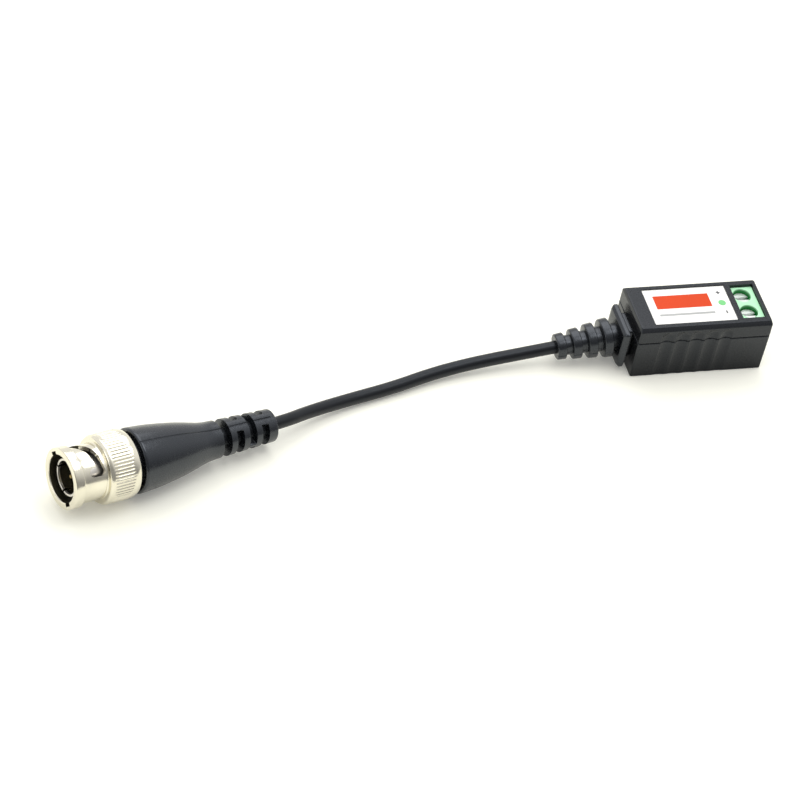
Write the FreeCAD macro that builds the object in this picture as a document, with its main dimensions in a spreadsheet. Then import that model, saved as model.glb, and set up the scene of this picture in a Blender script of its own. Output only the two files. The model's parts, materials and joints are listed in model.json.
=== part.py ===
import FreeCAD, Part
import Sketcher
import math
import os

# A passive video balun: a small two-part case with a screw terminal for twisted pair at one end,
# and a short lead with a bayonet video plug at the other. Millimetres and degrees, +Z up.
# The origin is the middle of the case's underside; +X runs towards the screw terminal.

doc = FreeCAD.newDocument("video_balun")
sheet = doc.addObject("Spreadsheet::Sheet", "dims")
V = FreeCAD.Vector


class Size:
    """A size that keeps both its value and the sheet expression that gives it."""

    def __init__(self, value, text):
        self.value = float(value)
        self.text = text

    def __add__(self, other):
        return join(self, "+", other)

    def __radd__(self, other):
        return join(other, "+", self)

    def __sub__(self, other):
        return join(self, "-", other)

    def __rsub__(self, other):
        return join(other, "-", self)

    def __mul__(self, other):
        return join(self, "*", other)

    def __rmul__(self, other):
        return join(other, "*", self)

    def __truediv__(self, other):
        return join(self, "/", other)

    def __neg__(self):
        return join(0, "-", self)


def value_of(size):
    return size.value if isinstance(size, Size) else float(size)


def text_of(size):
    return size.text if isinstance(size, Size) else repr(float(size))


def join(left, sign, right):
    a, b = value_of(left), value_of(right)
    results = {"+": a + b, "-": a - b, "*": a * b, "/": a / b if b else 0.0}
    return Size(results[sign], f"({text_of(left)} {sign} {text_of(right)})")


def sine(angle):
    return Size(math.sin(math.radians(angle.value)), f"sin({angle.text} * 1 deg)")


def cosine(angle):
    return Size(math.cos(math.radians(angle.value)), f"cos({angle.text} * 1 deg)")


# The driving dimensions, one cell each
DRIVING = {
    # case
    "case_length": 30.6,
    "case_width": 14.4,
    "case_height": 13.8,
    "split_height": 9.8,
    "base_draw_in": 0.15,
    "cover_draw_in": 0.03,
    "corner_round": 0.5,
    "foot_chamfer": 0.2,
    "long_edge_chamfer": 0.8,
    "end_edge_chamfer": 0.25,
    "case_wall": 1.5,
    "floor_wall": 1.3,
    "roof_wall": 1.5,
    "lip_height": 0.8,
    "lip_wall": 0.6,
    "fit_gap": 0.1,
    "press_gap": 0.03,
    # flutes along both long sides
    "flute_count": 5,
    "flute_pitch": 3.4,
    "flute_width": 2.8,
    "flute_depth": 0.45,
    "flute_middle": -2.0,
    "flute_top": 12.7,
    # label
    "label_length": 19.2,
    "label_width": 11.0,
    "label_middle": -2.0,
    "label_recess": 0.4,
    "label_sheet": 0.15,
    # circuit board and what it carries
    "ledge_height": 1.7,
    "ledge_width": 1.0,
    "board_sheet": 1.2,
    "board_end_gap": 0.9,
    "core_outer": 8.4,
    "core_inner": 4.2,
    "core_height": 3.4,
    "core_gap": 0.45,
    "winding_wire": 0.4,
    "winding_turns": 14,
    "suppressor_length": 3.0,
    "suppressor_width": 1.8,
    "suppressor_height": 1.2,
    "chip_length": 1.6,
    "chip_width": 0.8,
    "chip_height": 0.6,
    "lead_wire": 0.9,
    "lead_apart": 3.2,
    "lead_reach": 1.5,
    # screw terminal
    "terminal_side_gap": 0.62,
    "terminal_depth": 7.1,
    "collar_depth": 5.2,
    "terminal_proud": 0.3,
    "collar_height": 3.7,
    "terminal_sink": 0.7,
    "terminal_wall": 0.7,
    "terminal_floor": 0.8,
    "screw_hole": 4.0,
    "shaft_floor": 0.3,
    "screw_head": 3.6,
    "screw_head_height": 1.6,
    "screw_sink": 1.0,
    "screw_shank": 2.5,
    "screw_slot_width": 0.7,
    "screw_slot_depth": 0.8,
    "thread_gap": 0.05,
    "cage_depth": 4.4,
    "cage_width": 3.6,
    "cage_height_share": 0.72,
    "cage_plate": 0.6,
    "cage_side": 0.5,
    "contact_width": 2.0,
    "contact_sheet": 0.5,
    "contact_tail": 1.0,
    "tail_length": 1.0,
    "entry_width": 2.6,
    "entry_flare": 0.4,
    # strain relief
    "relief_height": 5.8,
    "relief_neck_width": 6.4,
    "relief_neck_bottom": 2.5,
    "relief_gap": 1.1,
    "relief_plate": 1.5,
    "relief_plate_width": 10.3,
    "relief_plate_foot_width": 9.9,
    "relief_plate_top": 10.6,
    "relief_plate_side": 2.2,
    "relief_plate_bottom": 0.9,
    "relief_inner_width": 9.4,
    "relief_inner_height": 7.6,
    "relief_droop": 7.6,
    "relief_swing": 2.2,
    "relief_core_root": 6.2,
    "relief_core_tip": 4.4,
    "relief_first_ring": 8.66,
    "relief_last_ring": 5.96,
    "relief_rings": 4,
    "relief_ring_start": 1.3,
    "relief_ring_pitch": 3.06,
    "relief_ring_width": 1.9,
    "relief_ring_chamfer": 0.35,
    "relief_collar": 5.3,
    "relief_length": 13.9,
    # cord
    "cord_diameter": 2.8,
    "cord_seat": 4.0,
    "cord_bore_gap": 0.05,
    # plug: its place, and its pieces along its own axis from the nut's front rim
    "plug_front_x": -147.07,
    "plug_front_y": -32.78,
    "plug_turn": 16.69,
    "plug_tilt": 4.0,
    "nut_length": 14.9,
    "nut_bore": 10.0,
    "nut_lip": 13.0,
    "nut_lip_length": 2.2,
    "nut_tube": 11.7,
    "nut_shoulder_start": 7.7,
    "nut_shoulder": 13.8,
    "nut_shoulder_length": 0.8,
    "knurl_outer": 14.5,
    "knurl_bevel": 0.9,
    "knurl_rear": 14.0,
    "knurl_count": 60,
    "knurl_depth": 0.22,
    "knurl_start": 8.75,
    "knurl_length": 4.5,
    "nut_rim_chamfer": 0.3,
    "slot_width": 1.7,
    "slot_start_angle": -50.0,
    "slot_sweep": 95.0,
    "slot_start_gap": 0.1,
    "slot_end": 6.35,
    "slot_hook": 1.6,
    "slot_seat_ease": 0.1,
    "entry_notch_depth": 0.75,
    "flange_seat": 8.4,
    "flange_outer": 12.0,
    "flange_sheet": 1.15,
    "rear_bore": 12.3,
    "sleeve_outer": 8.1,
    "sleeve_inner": 6.9,
    "sleeve_front": 1.25,
    "sleeve_slot": 0.5,
    "sleeve_slot_length": 5.2,
    "spring_height": 1.3,
    "spring_sheet": 0.25,
    "spring_outer": 11.6,
    "spring_inner": 9.9,
    "spring_waves": 3,
    "washer_sheet": 0.5,
    "washer_outer": 12.0,
    "washer_inner": 9.8,
    "ring_sheet": 0.8,
    "ring_outer": 12.9,
    "ring_inner": 10.9,
    "ring_gap_angle": 40.0,
    "run_gap": 0.06,
    "hub_outer": 9.4,
    "hub_end": 13.4,
    "tail_tube_outer": 4.6,
    "tail_tube_inner": 3.2,
    "tail_tube_end": 23.0,
    "insulator_front": 6.0,
    "insulator_nose": 4.4,
    "insulator_nose_outer": 4.7,
    "insulator_nose_bore": 2.2,
    "insulator_end": 12.2,
    "pin_tip": 2.2,
    "pin_outer": 1.36,
    "pin_root_outer": 2.0,
    "pin_root_start": 7.4,
    "pin_end": 15.0,
    "ferrule_outer": 6.2,
    "ferrule_start": 14.6,
    "ferrule_end": 21.6,
    # boot
    "boot_neck_outer": 10.6,
    "boot_neck_start": 13.6,
    "boot_front": 16.0,
    "boot_front_outer": 14.0,
    "boot_front_round": 0.9,
    "boot_waist_outer": 8.0,
    "boot_shoulder": 21.0,
    "boot_shoulder_outer": 13.3,
    "boot_cone_end": 27.5,
    "boot_cone_end_outer": 11.3,
    "boot_ogee_end": 33.6,
    "boot_ogee_end_outer": 8.3,
    "boot_waist": 36.7,
    "boot_end": 49.8,
    "boot_end_outer": 7.0,
    "boot_end_round": 0.8,
    "boot_groove": 1.5,
    "boot_rib": 1.6,
    "boot_groove_bottom": 5.2,
    "boot_rib_angle": 46.0,
    "boot_side_rib_angle": 16.0,
    "boot_parting_angle": 13.0,
}

for row, (name, number) in enumerate(DRIVING.items(), start=1):
    sheet.set(f"A{row}", name)
    sheet.set(f"B{row}", str(number))
    sheet.setAlias(f"B{row}", name)
doc.recompute()


def dim(name):
    return Size(sheet.get(name), f"dims.{name}")


D = {name: dim(name) for name in DRIVING}


# Places that several pieces share
half_length = D["case_length"] / 2
half_width = D["case_width"] / 2
wall_inside_x = half_length - D["case_wall"]
wall_inside_y = half_width - D["case_wall"]
board_bottom = D["floor_wall"] + D["ledge_height"]
board_top = board_bottom + D["board_sheet"]
terminal_face = wall_inside_x + D["terminal_proud"]
collar_rear = terminal_face - D["collar_depth"]
terminal_rear = terminal_face - D["terminal_depth"]
terminal_top = D["case_height"] - D["terminal_sink"]
well_front = terminal_face - D["terminal_wall"]
well_depth = D["cage_depth"] + 2 * D["fit_gap"]
screw_x = well_front - well_depth / 2
cage_bottom = board_top + D["terminal_floor"]
screw_seat = terminal_top - D["screw_sink"] - D["screw_head_height"]
well_top = screw_seat - D["shaft_floor"]
cage_top = cage_bottom + (well_top - cage_bottom) * D["cage_height_share"]
contact_top = cage_top - D["cage_plate"] - D["thread_gap"]
terminal_half = wall_inside_y - D["terminal_side_gap"]
pole_sides = (("front", -terminal_half / 2), ("rear", terminal_half / 2))
terminal_shoulder = terminal_top - D["collar_height"]
board_rear = -wall_inside_x + D["relief_plate"] + D["board_end_gap"]
chip_x = board_rear + D["chip_length"]
core_middle = chip_x + D["chip_length"] + D["core_gap"] + D["core_outer"] / 2


def bind(obj, prop, size):
    """Sets a property of an object from a size, by its sheet expression."""
    obj.setExpression(prop, text_of(size))


def place(obj, x=0, y=0, z=0):
    for axis, size in (("x", x), ("y", y), ("z", z)):
        bind(obj, f"Placement.Base.{axis}", size)


def follow(obj, seat):
    """Gives an object the placement of a seat."""
    obj.setExpression("Placement", f"{seat.Name}.Placement")


# Sketches

def hold_point(sketch, constraints, geometry, end, x, y):
    """Ties a sketch point to the origin by its two coordinates."""
    for kind, size, axis in (("DistanceX", x, -2), ("DistanceY", y, -1)):
        if not isinstance(size, Size) and size == 0:
            constraints.append((Sketcher.Constraint("PointOnObject", geometry, end, axis), None))
        else:
            rule = Sketcher.Constraint(kind, -1, 1, geometry, end, value_of(size))
            constraints.append((rule, size))


def arc_between(start, finish, radius, side):
    """An anticlockwise arc over a chord; side 1 bulges to the chord's left and -1 to its right."""
    chord = finish.sub(start)
    half = chord.Length / 2
    sagitta = radius - math.sqrt(radius * radius - half * half)
    left = V(-chord.y, chord.x, 0).normalize()
    middle = start + chord * 0.5 + left * (side * sagitta)
    if side > 0:
        return Part.Arc(finish, middle, start)
    return Part.Arc(start, middle, finish)


def draw_outline(sketch, outline):
    """Draws a closed outline. A point is (x, y), or (x, y, radius, side) to leave it on an arc."""
    spots = [V(value_of(p[0]), value_of(p[1]), 0) for p in outline]
    count = len(spots)
    ends = []
    constraints = []
    for i, point in enumerate(outline):
        start, finish = spots[i], spots[(i + 1) % count]
        if len(point) == 4:
            edge = arc_between(start, finish, value_of(point[2]), point[3])
        else:
            edge = Part.LineSegment(start, finish)
        index = sketch.addGeometry(edge, False)
        turned = len(point) == 4 and point[3] > 0
        ends.append((index, 2, 1) if turned else (index, 1, 2))
        if len(point) == 4:
            constraints.append((Sketcher.Constraint("Radius", index, value_of(point[2])), point[2]))
    for i, point in enumerate(outline):
        index, first, _ = ends[i]
        before, _, last = ends[i - 1]
        constraints.append((Sketcher.Constraint("Coincident", before, last, index, first), None))
        hold_point(sketch, constraints, index, first, point[0], point[1])
    for rule, size in constraints:
        number = sketch.addConstraint(rule)
        if isinstance(size, Size):
            sketch.setExpression(f"Constraints[{number}]", size.text)


def new_sketch(body, name, plane, height=0):
    sketch = body.newObject("Sketcher::SketchObject", name)
    origin = [f for f in body.Origin.OriginFeatures if f.Role == plane][0]
    sketch.AttachmentSupport = [(origin, "")]
    sketch.MapMode = "FlatFace"
    bind(sketch, "AttachmentOffset.Base.z", height)
    return sketch


def box_outline(x0, x1, y0, y1):
    return [(x0, y0), (x1, y0), (x1, y1), (x0, y1)]


def rounded_outline(half_x, half_y, radius):
    x, y = half_x - radius, half_y - radius
    return [(-x, -half_y), (x, -half_y, radius, -1), (half_x, -y), (half_x, y, radius, -1),
            (x, half_y), (-x, half_y, radius, -1), (-half_x, y), (-half_x, -y, radius, -1)]


def case_loft(body, name, sections):
    """Straight-sided loft of the case between outlines: (height, inset along X, inset along Y)."""
    sketches = []
    for i, (height, inset_x, inset_y) in enumerate(sections):
        sketch = new_sketch(body, f"{name}_{i}", "XY_Plane", height)
        draw_outline(sketch, rounded_outline(half_length - inset_x, half_width - inset_y,
                                             D["corner_round"]))
        sketches.append(sketch)
    loft = body.newObject("PartDesign::AdditiveLoft", name)
    loft.Profile = sketches[0]
    loft.Sections = sketches[1:]
    loft.Ruled = True
    doc.recompute()


def rectangle(body, name, height, x0, x1, y0, y1):
    sketch = new_sketch(body, name, "XY_Plane", height)
    draw_outline(sketch, box_outline(x0, x1, y0, y1))
    return sketch


# Features

def new_body(name):
    return doc.addObject("PartDesign::Body", name)


def pad(body, sketch, length, name, reverse=False):
    feature = body.newObject("PartDesign::Pad", name)
    feature.Profile = sketch
    bind(feature, "Length", length)
    feature.Reversed = reverse
    doc.recompute()
    return feature


def pocket(body, sketch, length, name, reverse=False):
    feature = body.newObject("PartDesign::Pocket", name)
    feature.Profile = sketch
    bind(feature, "Length", length)
    feature.Reversed = reverse
    doc.recompute()
    return feature


def turned_body(name, outline):
    """A body turned about its own X axis from a half section."""
    body = new_body(name)
    sketch = new_sketch(body, f"{name}_section", "XZ_Plane")
    draw_outline(sketch, outline)
    feature = body.newObject("PartDesign::Revolution", f"{name}_turned")
    feature.Profile = sketch
    feature.ReferenceAxis = (sketch, ["H_Axis"])
    feature.Angle = 360
    doc.recompute()
    return body


def edges_where(feature, test):
    """Names of a feature's edges that pass a test on their two end points."""
    names = []
    for number, edge in enumerate(feature.Shape.Edges, start=1):
        ends = [v.Point for v in edge.Vertexes]
        if len(ends) == 2 and test(ends[0], ends[1]):
            names.append(f"Edge{number}")
    return names


def fillet(body, feature, radius, name, test):
    rounded = body.newObject("PartDesign::Fillet", name)
    rounded.Base = (feature, edges_where(feature, test))
    bind(rounded, "Radius", radius)
    doc.recompute()
    return rounded


# Plain solids and booleans

def box(name, x0, x1, y0, y1, z0, z1):
    solid = doc.addObject("Part::Box", name)
    bind(solid, "Length", x1 - x0)
    bind(solid, "Width", y1 - y0)
    bind(solid, "Height", z1 - z0)
    place(solid, x0, y0, z0)
    return solid


def upright(name, x, y, z0, z1, radius):
    solid = doc.addObject("Part::Cylinder", name)
    bind(solid, "Radius", radius)
    bind(solid, "Height", z1 - z0)
    place(solid, x, y, z0)
    return solid


def fuse(name, pieces):
    joined = doc.addObject("Part::MultiFuse", name)
    joined.Shapes = pieces
    joined.Refine = True
    return joined


def cut(name, base, tools):
    """The base with every tool taken away."""
    tool = tools[0] if len(tools) == 1 else fuse(f"{name}_tools", tools)
    result = doc.addObject("Part::Cut", name)
    result.Base = base
    result.Tool = tool
    result.Refine = True
    return result


def seat_at(name, x, y, z, turn, tilt):
    """A named frame: turned about Z, then tipped nose down about its own Y."""
    seat = doc.addObject("Part::Feature", name)
    seat.setExpression(
        "Placement",
        f"create(<<placement>>; create(<<vector>>; {text_of(x)}; {text_of(y)}; {text_of(z)}); "
        f"create(<<rotation>>; {text_of(turn)}; {text_of(tilt)}; 0))",
    )
    doc.recompute()
    return seat


nodes = {}


def node(obj, name):
    """Names the finished piece; the name is also its file's name."""
    obj.Label = name
    nodes[name] = obj
    return obj


# Flute cutters: an upright round bar with a ball end beside the wall, one for each flute

def make_flute_cutters():
    half_chord = D["flute_width"] / 2
    radius = (half_chord * half_chord + D["flute_depth"] * D["flute_depth"]) / (2 * D["flute_depth"])
    ball_height = D["flute_top"] - half_chord
    first = D["flute_middle"] - D["flute_pitch"] * (D["flute_count"] - 1) / 2
    cutters = []
    for side in (-1, 1):
        y = side * (half_width - D["flute_depth"] + radius)
        for i in range(int(D["flute_count"].value)):
            x = first + i * D["flute_pitch"]
            tag = f"{'near' if side < 0 else 'far'}_{i}"
            bar = upright(f"flute_bar_{tag}", x, y, -D["floor_wall"], ball_height, radius)
            ball = doc.addObject("Part::Sphere", f"flute_ball_{tag}")
            bind(ball, "Radius", radius)
            place(ball, x, y, ball_height)
            cutters += [bar, ball]
    return fuse("flute_cutters", cutters)


# Base shell: drafted tray with a lip, board ledges, a slot for the strain relief
# and an end window for the terminal

def make_base_shell(flutes):
    body = new_body("base_block")
    draw = D["base_draw_in"]
    foot = draw + D["foot_chamfer"]
    case_loft(body, "base_draft", [(0, foot, foot), (D["foot_chamfer"], draw, draw),
                                   (D["split_height"], 0, 0)])
    lip_x = wall_inside_x + D["lip_wall"]
    lip_y = wall_inside_y + D["lip_wall"]
    lip = rectangle(body, "base_lip_outline", D["split_height"], -lip_x, lip_x, -lip_y, lip_y)
    pad(body, lip, D["lip_height"], "base_lip")
    hollow = rectangle(body, "base_hollow_outline", D["split_height"] + D["lip_height"],
                       -wall_inside_x, wall_inside_x, -wall_inside_y, wall_inside_y)
    depth = D["split_height"] + D["lip_height"] - D["floor_wall"]
    pocket(body, hollow, depth, "base_hollow")
    ledge_rear = board_rear + D["ledge_width"]
    ledge_front = terminal_rear - D["ledge_width"]
    for side, y0, y1 in (("near", -wall_inside_y, D["ledge_width"] - wall_inside_y),
                         ("far", wall_inside_y - D["ledge_width"], wall_inside_y)):
        ledge = rectangle(body, f"ledge_outline_{side}", D["floor_wall"],
                          ledge_rear, ledge_front, y0, y1)
        pad(body, ledge, D["ledge_height"], f"ledge_{side}")
    rim_top = D["split_height"] + D["lip_height"] + D["fit_gap"]
    slot_half = D["relief_neck_width"] / 2 + D["press_gap"]
    slot = box("relief_slot", -half_length - D["case_wall"], -wall_inside_x + D["fit_gap"],
               -slot_half, slot_half, D["relief_neck_bottom"] - D["press_gap"], rim_top)
    window_half = terminal_half + D["fit_gap"]
    window = box("terminal_window", wall_inside_x - D["fit_gap"], half_length + D["case_wall"],
                 -window_half, window_half, board_top, rim_top)
    return node(cut("base_shell", body, [flutes, slot, window]), "base_shell")


# Top cover: drafted lid with long chamfered edges, a rebate for the lip, a label recess
# and a window over the terminal

def make_top_cover(flutes):
    body = new_body("cover_block")
    draw = D["cover_draw_in"]
    shoulder = D["case_height"] - D["long_edge_chamfer"]
    case_loft(body, "cover_draft", [(D["split_height"], 0, 0), (shoulder, draw, draw),
                                    (D["case_height"], draw + D["end_edge_chamfer"],
                                     draw + D["long_edge_chamfer"])])
    hollow = rectangle(body, "cover_hollow_outline", D["split_height"],
                       -wall_inside_x, wall_inside_x, -wall_inside_y, wall_inside_y)
    depth = D["case_height"] - D["roof_wall"] - D["split_height"]
    pocket(body, hollow, depth, "cover_hollow", reverse=True)
    rebate_x = wall_inside_x + D["lip_wall"] + D["fit_gap"]
    rebate_y = wall_inside_y + D["lip_wall"] + D["fit_gap"]
    rebate = rectangle(body, "cover_rebate_outline", D["split_height"],
                       -rebate_x, rebate_x, -rebate_y, rebate_y)
    pocket(body, rebate, D["lip_height"] + D["fit_gap"], "cover_rebate", reverse=True)
    label_x0 = D["label_middle"] - D["label_length"] / 2
    label_y = D["label_width"] / 2
    recess = rectangle(body, "label_recess_outline", D["case_height"],
                       label_x0, label_x0 + D["label_length"], -label_y, label_y)
    pocket(body, recess, D["label_recess"], "label_recess_cut")
    window_half = terminal_half + D["fit_gap"]
    window = rectangle(body, "cover_window_outline", D["case_height"],
                       collar_rear - D["fit_gap"], terminal_face + D["fit_gap"],
                       -window_half, window_half)
    pocket(body, window, D["case_height"] - D["split_height"], "cover_window")
    return node(cut("top_cover", body, [flutes]), "top_cover")


def make_label():
    edge = D["fit_gap"] / 2
    x0 = D["label_middle"] - D["label_length"] / 2
    floor = D["case_height"] - D["label_recess"]
    half = D["label_width"] / 2 - edge
    label = box("label_film", x0 + edge, x0 + D["label_length"] - edge, -half, half,
                floor, floor + D["label_sheet"])
    return node(label, "label")


# Circuit board on its two ledges, with holes for the terminal tails

def make_circuit_board():
    half = wall_inside_y - D["fit_gap"]
    front = wall_inside_x - D["fit_gap"]
    sheet_ = box("board_blank", board_rear, front, -half, half, board_bottom, board_top)
    holes = []
    tail_x = terminal_rear + D["contact_sheet"] + D["contact_tail"] / 2
    for side, y in pole_sides:
        holes.append(upright(f"tail_hole_{side}", tail_x, y, board_bottom - D["fit_gap"],
                             board_top + D["fit_gap"], D["contact_tail"] * 0.75))
    return node(cut("circuit_board", sheet_, holes), "circuit_board")


# Balun transformer: a ferrite ring standing on the board, with its turns of wire around it

def make_transformer():
    seat = board_top + D["winding_wire"]
    top = seat + D["core_height"]
    outer = upright("core_blank", core_middle, 0, seat, top, D["core_outer"] / 2)
    bore = upright("core_bore", core_middle, 0, seat - D["fit_gap"], top + D["fit_gap"],
                   D["core_inner"] / 2)
    node(cut("transformer_core", outer, [bore]), "transformer_core")
    count = int(D["winding_turns"].value)
    wire = D["winding_wire"]
    turns = []
    for i in range(count):
        frame = box(f"turn_frame_{i}", D["core_inner"] / 2 - wire, D["core_outer"] / 2 + wire,
                    -wire / 2, wire / 2, seat - wire, top + wire)
        gap = box(f"turn_gap_{i}", D["core_inner"] / 2, D["core_outer"] / 2,
                  -wire, wire, seat, top)
        turn = cut(f"turn_{i}", frame, [gap])
        angle = 360.0 * (i + 0.5) / count
        turn.setExpression(
            "Placement",
            f"create(<<placement>>; create(<<vector>>; {core_middle.text}; 0; 0); "
            f"create(<<rotation>>; {angle}; 0; 0))",
        )
        turns.append(turn)
    winding = doc.addObject("Part::Compound", "transformer_winding")
    winding.Links = turns
    return node(winding, "transformer_winding")


# Surface-mounted pieces on the board's top

def make_board_pieces():
    x = terminal_rear - D["suppressor_width"] - D["fit_gap"]
    half = D["suppressor_length"] / 2
    block = box("suppressor_block", x - D["suppressor_width"] / 2, x + D["suppressor_width"] / 2,
                -half, half, board_top, board_top + D["suppressor_height"])
    node(block, "surge_suppressor")
    chips = []
    for i, y in enumerate((-D["chip_width"] * 4, D["chip_width"] * 4)):
        chips.append(box(f"chip_{i}", chip_x, chip_x + D["chip_length"],
                         y - D["chip_width"] / 2, y + D["chip_width"] / 2,
                         board_top, board_top + D["chip_height"]))
    group = doc.addObject("Part::Compound", "chip_parts")
    group.Links = chips
    return node(group, "chip_parts")


# Screw terminal housing: stepped block with two screw shafts, two cage wells,
# two flared wire entries and slots for the contact tails

def make_terminal_housing():
    lower = box("terminal_lower", terminal_rear, terminal_face, -terminal_half, terminal_half,
                board_top, terminal_shoulder)
    collar = box("terminal_collar", collar_rear, terminal_face, -terminal_half, terminal_half,
                 terminal_shoulder, terminal_top)
    block = fuse("terminal_block", [lower, collar])
    tools = []
    entry_low = (cage_top - cage_bottom) / 2 - D["cage_plate"]
    entry_mid = (cage_bottom + cage_top) / 2
    tail_x0 = terminal_rear + D["contact_sheet"]
    for side, y in pole_sides:
        tools.append(upright(f"shaft_{side}", screw_x, y, screw_seat, terminal_top + D["fit_gap"],
                             D["screw_hole"] / 2))
        tools.append(upright(f"shank_way_{side}", screw_x, y, well_top - D["fit_gap"],
                             screw_seat + D["fit_gap"], D["screw_shank"] / 2 + D["fit_gap"]))
        well_half = D["cage_width"] / 2 + D["fit_gap"]
        tools.append(box(f"well_{side}", well_front - well_depth, well_front,
                         y - well_half, y + well_half, cage_bottom - D["fit_gap"], well_top))
        tools.append(box(f"tail_slot_{side}", tail_x0 - D["fit_gap"],
                         well_front - well_depth + D["fit_gap"],
                         y - D["contact_width"] / 2 - D["fit_gap"],
                         y + D["contact_width"] / 2 + D["fit_gap"],
                         board_top - D["fit_gap"], contact_top + D["fit_gap"]))
        tools.append(entry_funnel(side, y, entry_mid, entry_low))
    return node(cut("terminal_housing", block, tools), "terminal_housing")


def entry_funnel(side, y, middle, low):
    """A wire entry that narrows from the block's face to the cage."""
    funnel = doc.addObject("Part::Wedge", f"entry_{side}")
    reach = D["terminal_wall"] + 2 * D["fit_gap"]
    wide = D["entry_width"] / 2 + D["entry_flare"]
    tall = low + D["entry_flare"]
    narrow = D["entry_width"] / 2
    for prop, size in (("Ymin", 0), ("Ymax", reach), ("Xmin", -narrow), ("Xmax", narrow),
                       ("Zmin", -low), ("Zmax", low), ("X2min", -wide), ("X2max", wide),
                       ("Z2min", -tall), ("Z2max", tall)):
        bind(funnel, prop, size)
    funnel.setExpression(
        "Placement",
        "create(<<placement>>; create(<<vector>>; "
        f"{text_of(well_front - D['fit_gap'])}; {text_of(y)}; {text_of(middle)}); "
        "create(<<rotation>>; -90; 0; 0))",
    )
    return funnel


# The pole's metal pieces: a rising cage, the screw that lifts it, and the contact bar

def make_pole(side, y):
    window_half = D["cage_width"] / 2 - D["cage_side"]
    cage_half = D["cage_width"] / 2
    x0, x1 = screw_x - D["cage_depth"] / 2, screw_x + D["cage_depth"] / 2
    frame = box(f"cage_frame_{side}", x0, x1, y - cage_half, y + cage_half, cage_bottom, cage_top)
    opening = box(f"cage_opening_{side}", x0 - D["fit_gap"], x1 + D["fit_gap"],
                  y - window_half, y + window_half,
                  cage_bottom + D["cage_plate"], cage_top - D["cage_plate"])
    thread = upright(f"cage_thread_{side}", screw_x, y, cage_top - D["cage_plate"] - D["fit_gap"],
                     cage_top + D["fit_gap"], D["screw_shank"] / 2 + D["thread_gap"])
    node(cut(f"clamp_cage_{side}", frame, [opening, thread]), f"clamp_cage_{side}")

    seat = screw_seat
    head = upright(f"screw_head_{side}", screw_x, y, seat, seat + D["screw_head_height"],
                   D["screw_head"] / 2)
    shank = upright(f"screw_shank_{side}", screw_x, y, contact_top + D["fit_gap"], seat,
                    D["screw_shank"] / 2)
    slot = box(f"screw_slot_{side}", screw_x - D["screw_head"], screw_x + D["screw_head"],
               y - D["screw_slot_width"] / 2, y + D["screw_slot_width"] / 2,
               seat + D["screw_head_height"] - D["screw_slot_depth"],
               seat + D["screw_head_height"] + D["fit_gap"])
    node(cut(f"terminal_screw_{side}", fuse(f"screw_blank_{side}", [head, shank]), [slot]),
         f"terminal_screw_{side}")

    half = D["contact_width"] / 2
    tail_x0 = terminal_rear + D["contact_sheet"]
    bar = box(f"contact_bar_{side}", tail_x0, x1 - D["fit_gap"], y - half, y + half,
              contact_top - D["contact_sheet"], contact_top)
    drop = box(f"contact_drop_{side}", tail_x0, tail_x0 + D["contact_tail"], y - half, y + half,
               board_top, contact_top)
    leg_half = D["contact_tail"] / 3
    middle = tail_x0 + D["contact_tail"] / 2
    leg = box(f"contact_leg_{side}", middle - leg_half, middle + leg_half,
              y - leg_half, y + leg_half, board_bottom - D["tail_length"], board_top)
    node(fuse(f"terminal_contact_{side}", [bar, drop, leg]), f"terminal_contact_{side}")


# Strain relief: an inner plate, a neck through the case wall, an outer plate,
# and a ringed tail that hangs a little from the lead's weight

relief_outer_face = -half_length - D["relief_gap"] - D["relief_plate"]


def relief_tail_outline():
    """Half section of the tail: a tapering core with rings that shrink towards the tip."""
    core_root, core_tip = D["relief_core_root"] / 2, D["relief_core_tip"] / 2
    count = int(D["relief_rings"].value)
    bevel = D["relief_ring_chamfer"]
    outline = [(-D["relief_plate"] / 2, 0), (-D["relief_plate"] / 2, core_root)]
    for i in range(count):
        share = i / max(count - 1, 1)
        start = D["relief_ring_start"] + i * D["relief_ring_pitch"]
        end = start + D["relief_ring_width"]
        radius = (D["relief_first_ring"] * (1 - share) + D["relief_last_ring"] * share) / 2
        core = core_root * (1 - share) + core_tip * share
        outline += [(start, core), (start, radius - bevel), (start + bevel, radius),
                    (end - bevel, radius), (end, radius - bevel)]
        if i < count - 1:
            outline.append((end, core))
    last_end = (D["relief_ring_start"] + (count - 1) * D["relief_ring_pitch"]
                + D["relief_ring_width"])
    bore = D["cord_diameter"] / 2 + D["cord_bore_gap"]
    collar = D["relief_collar"] / 2
    tip = D["relief_length"]
    outline += [(last_end, collar), (tip - bevel, collar), (tip, collar - bevel),
                (tip, bore), (tip - D["cord_seat"], bore), (tip - D["cord_seat"], 0)]
    return outline


relief_seat = seat_at("relief_seat", relief_outer_face, 0, D["relief_height"],
                      180 + D["relief_swing"], D["relief_droop"])


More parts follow.
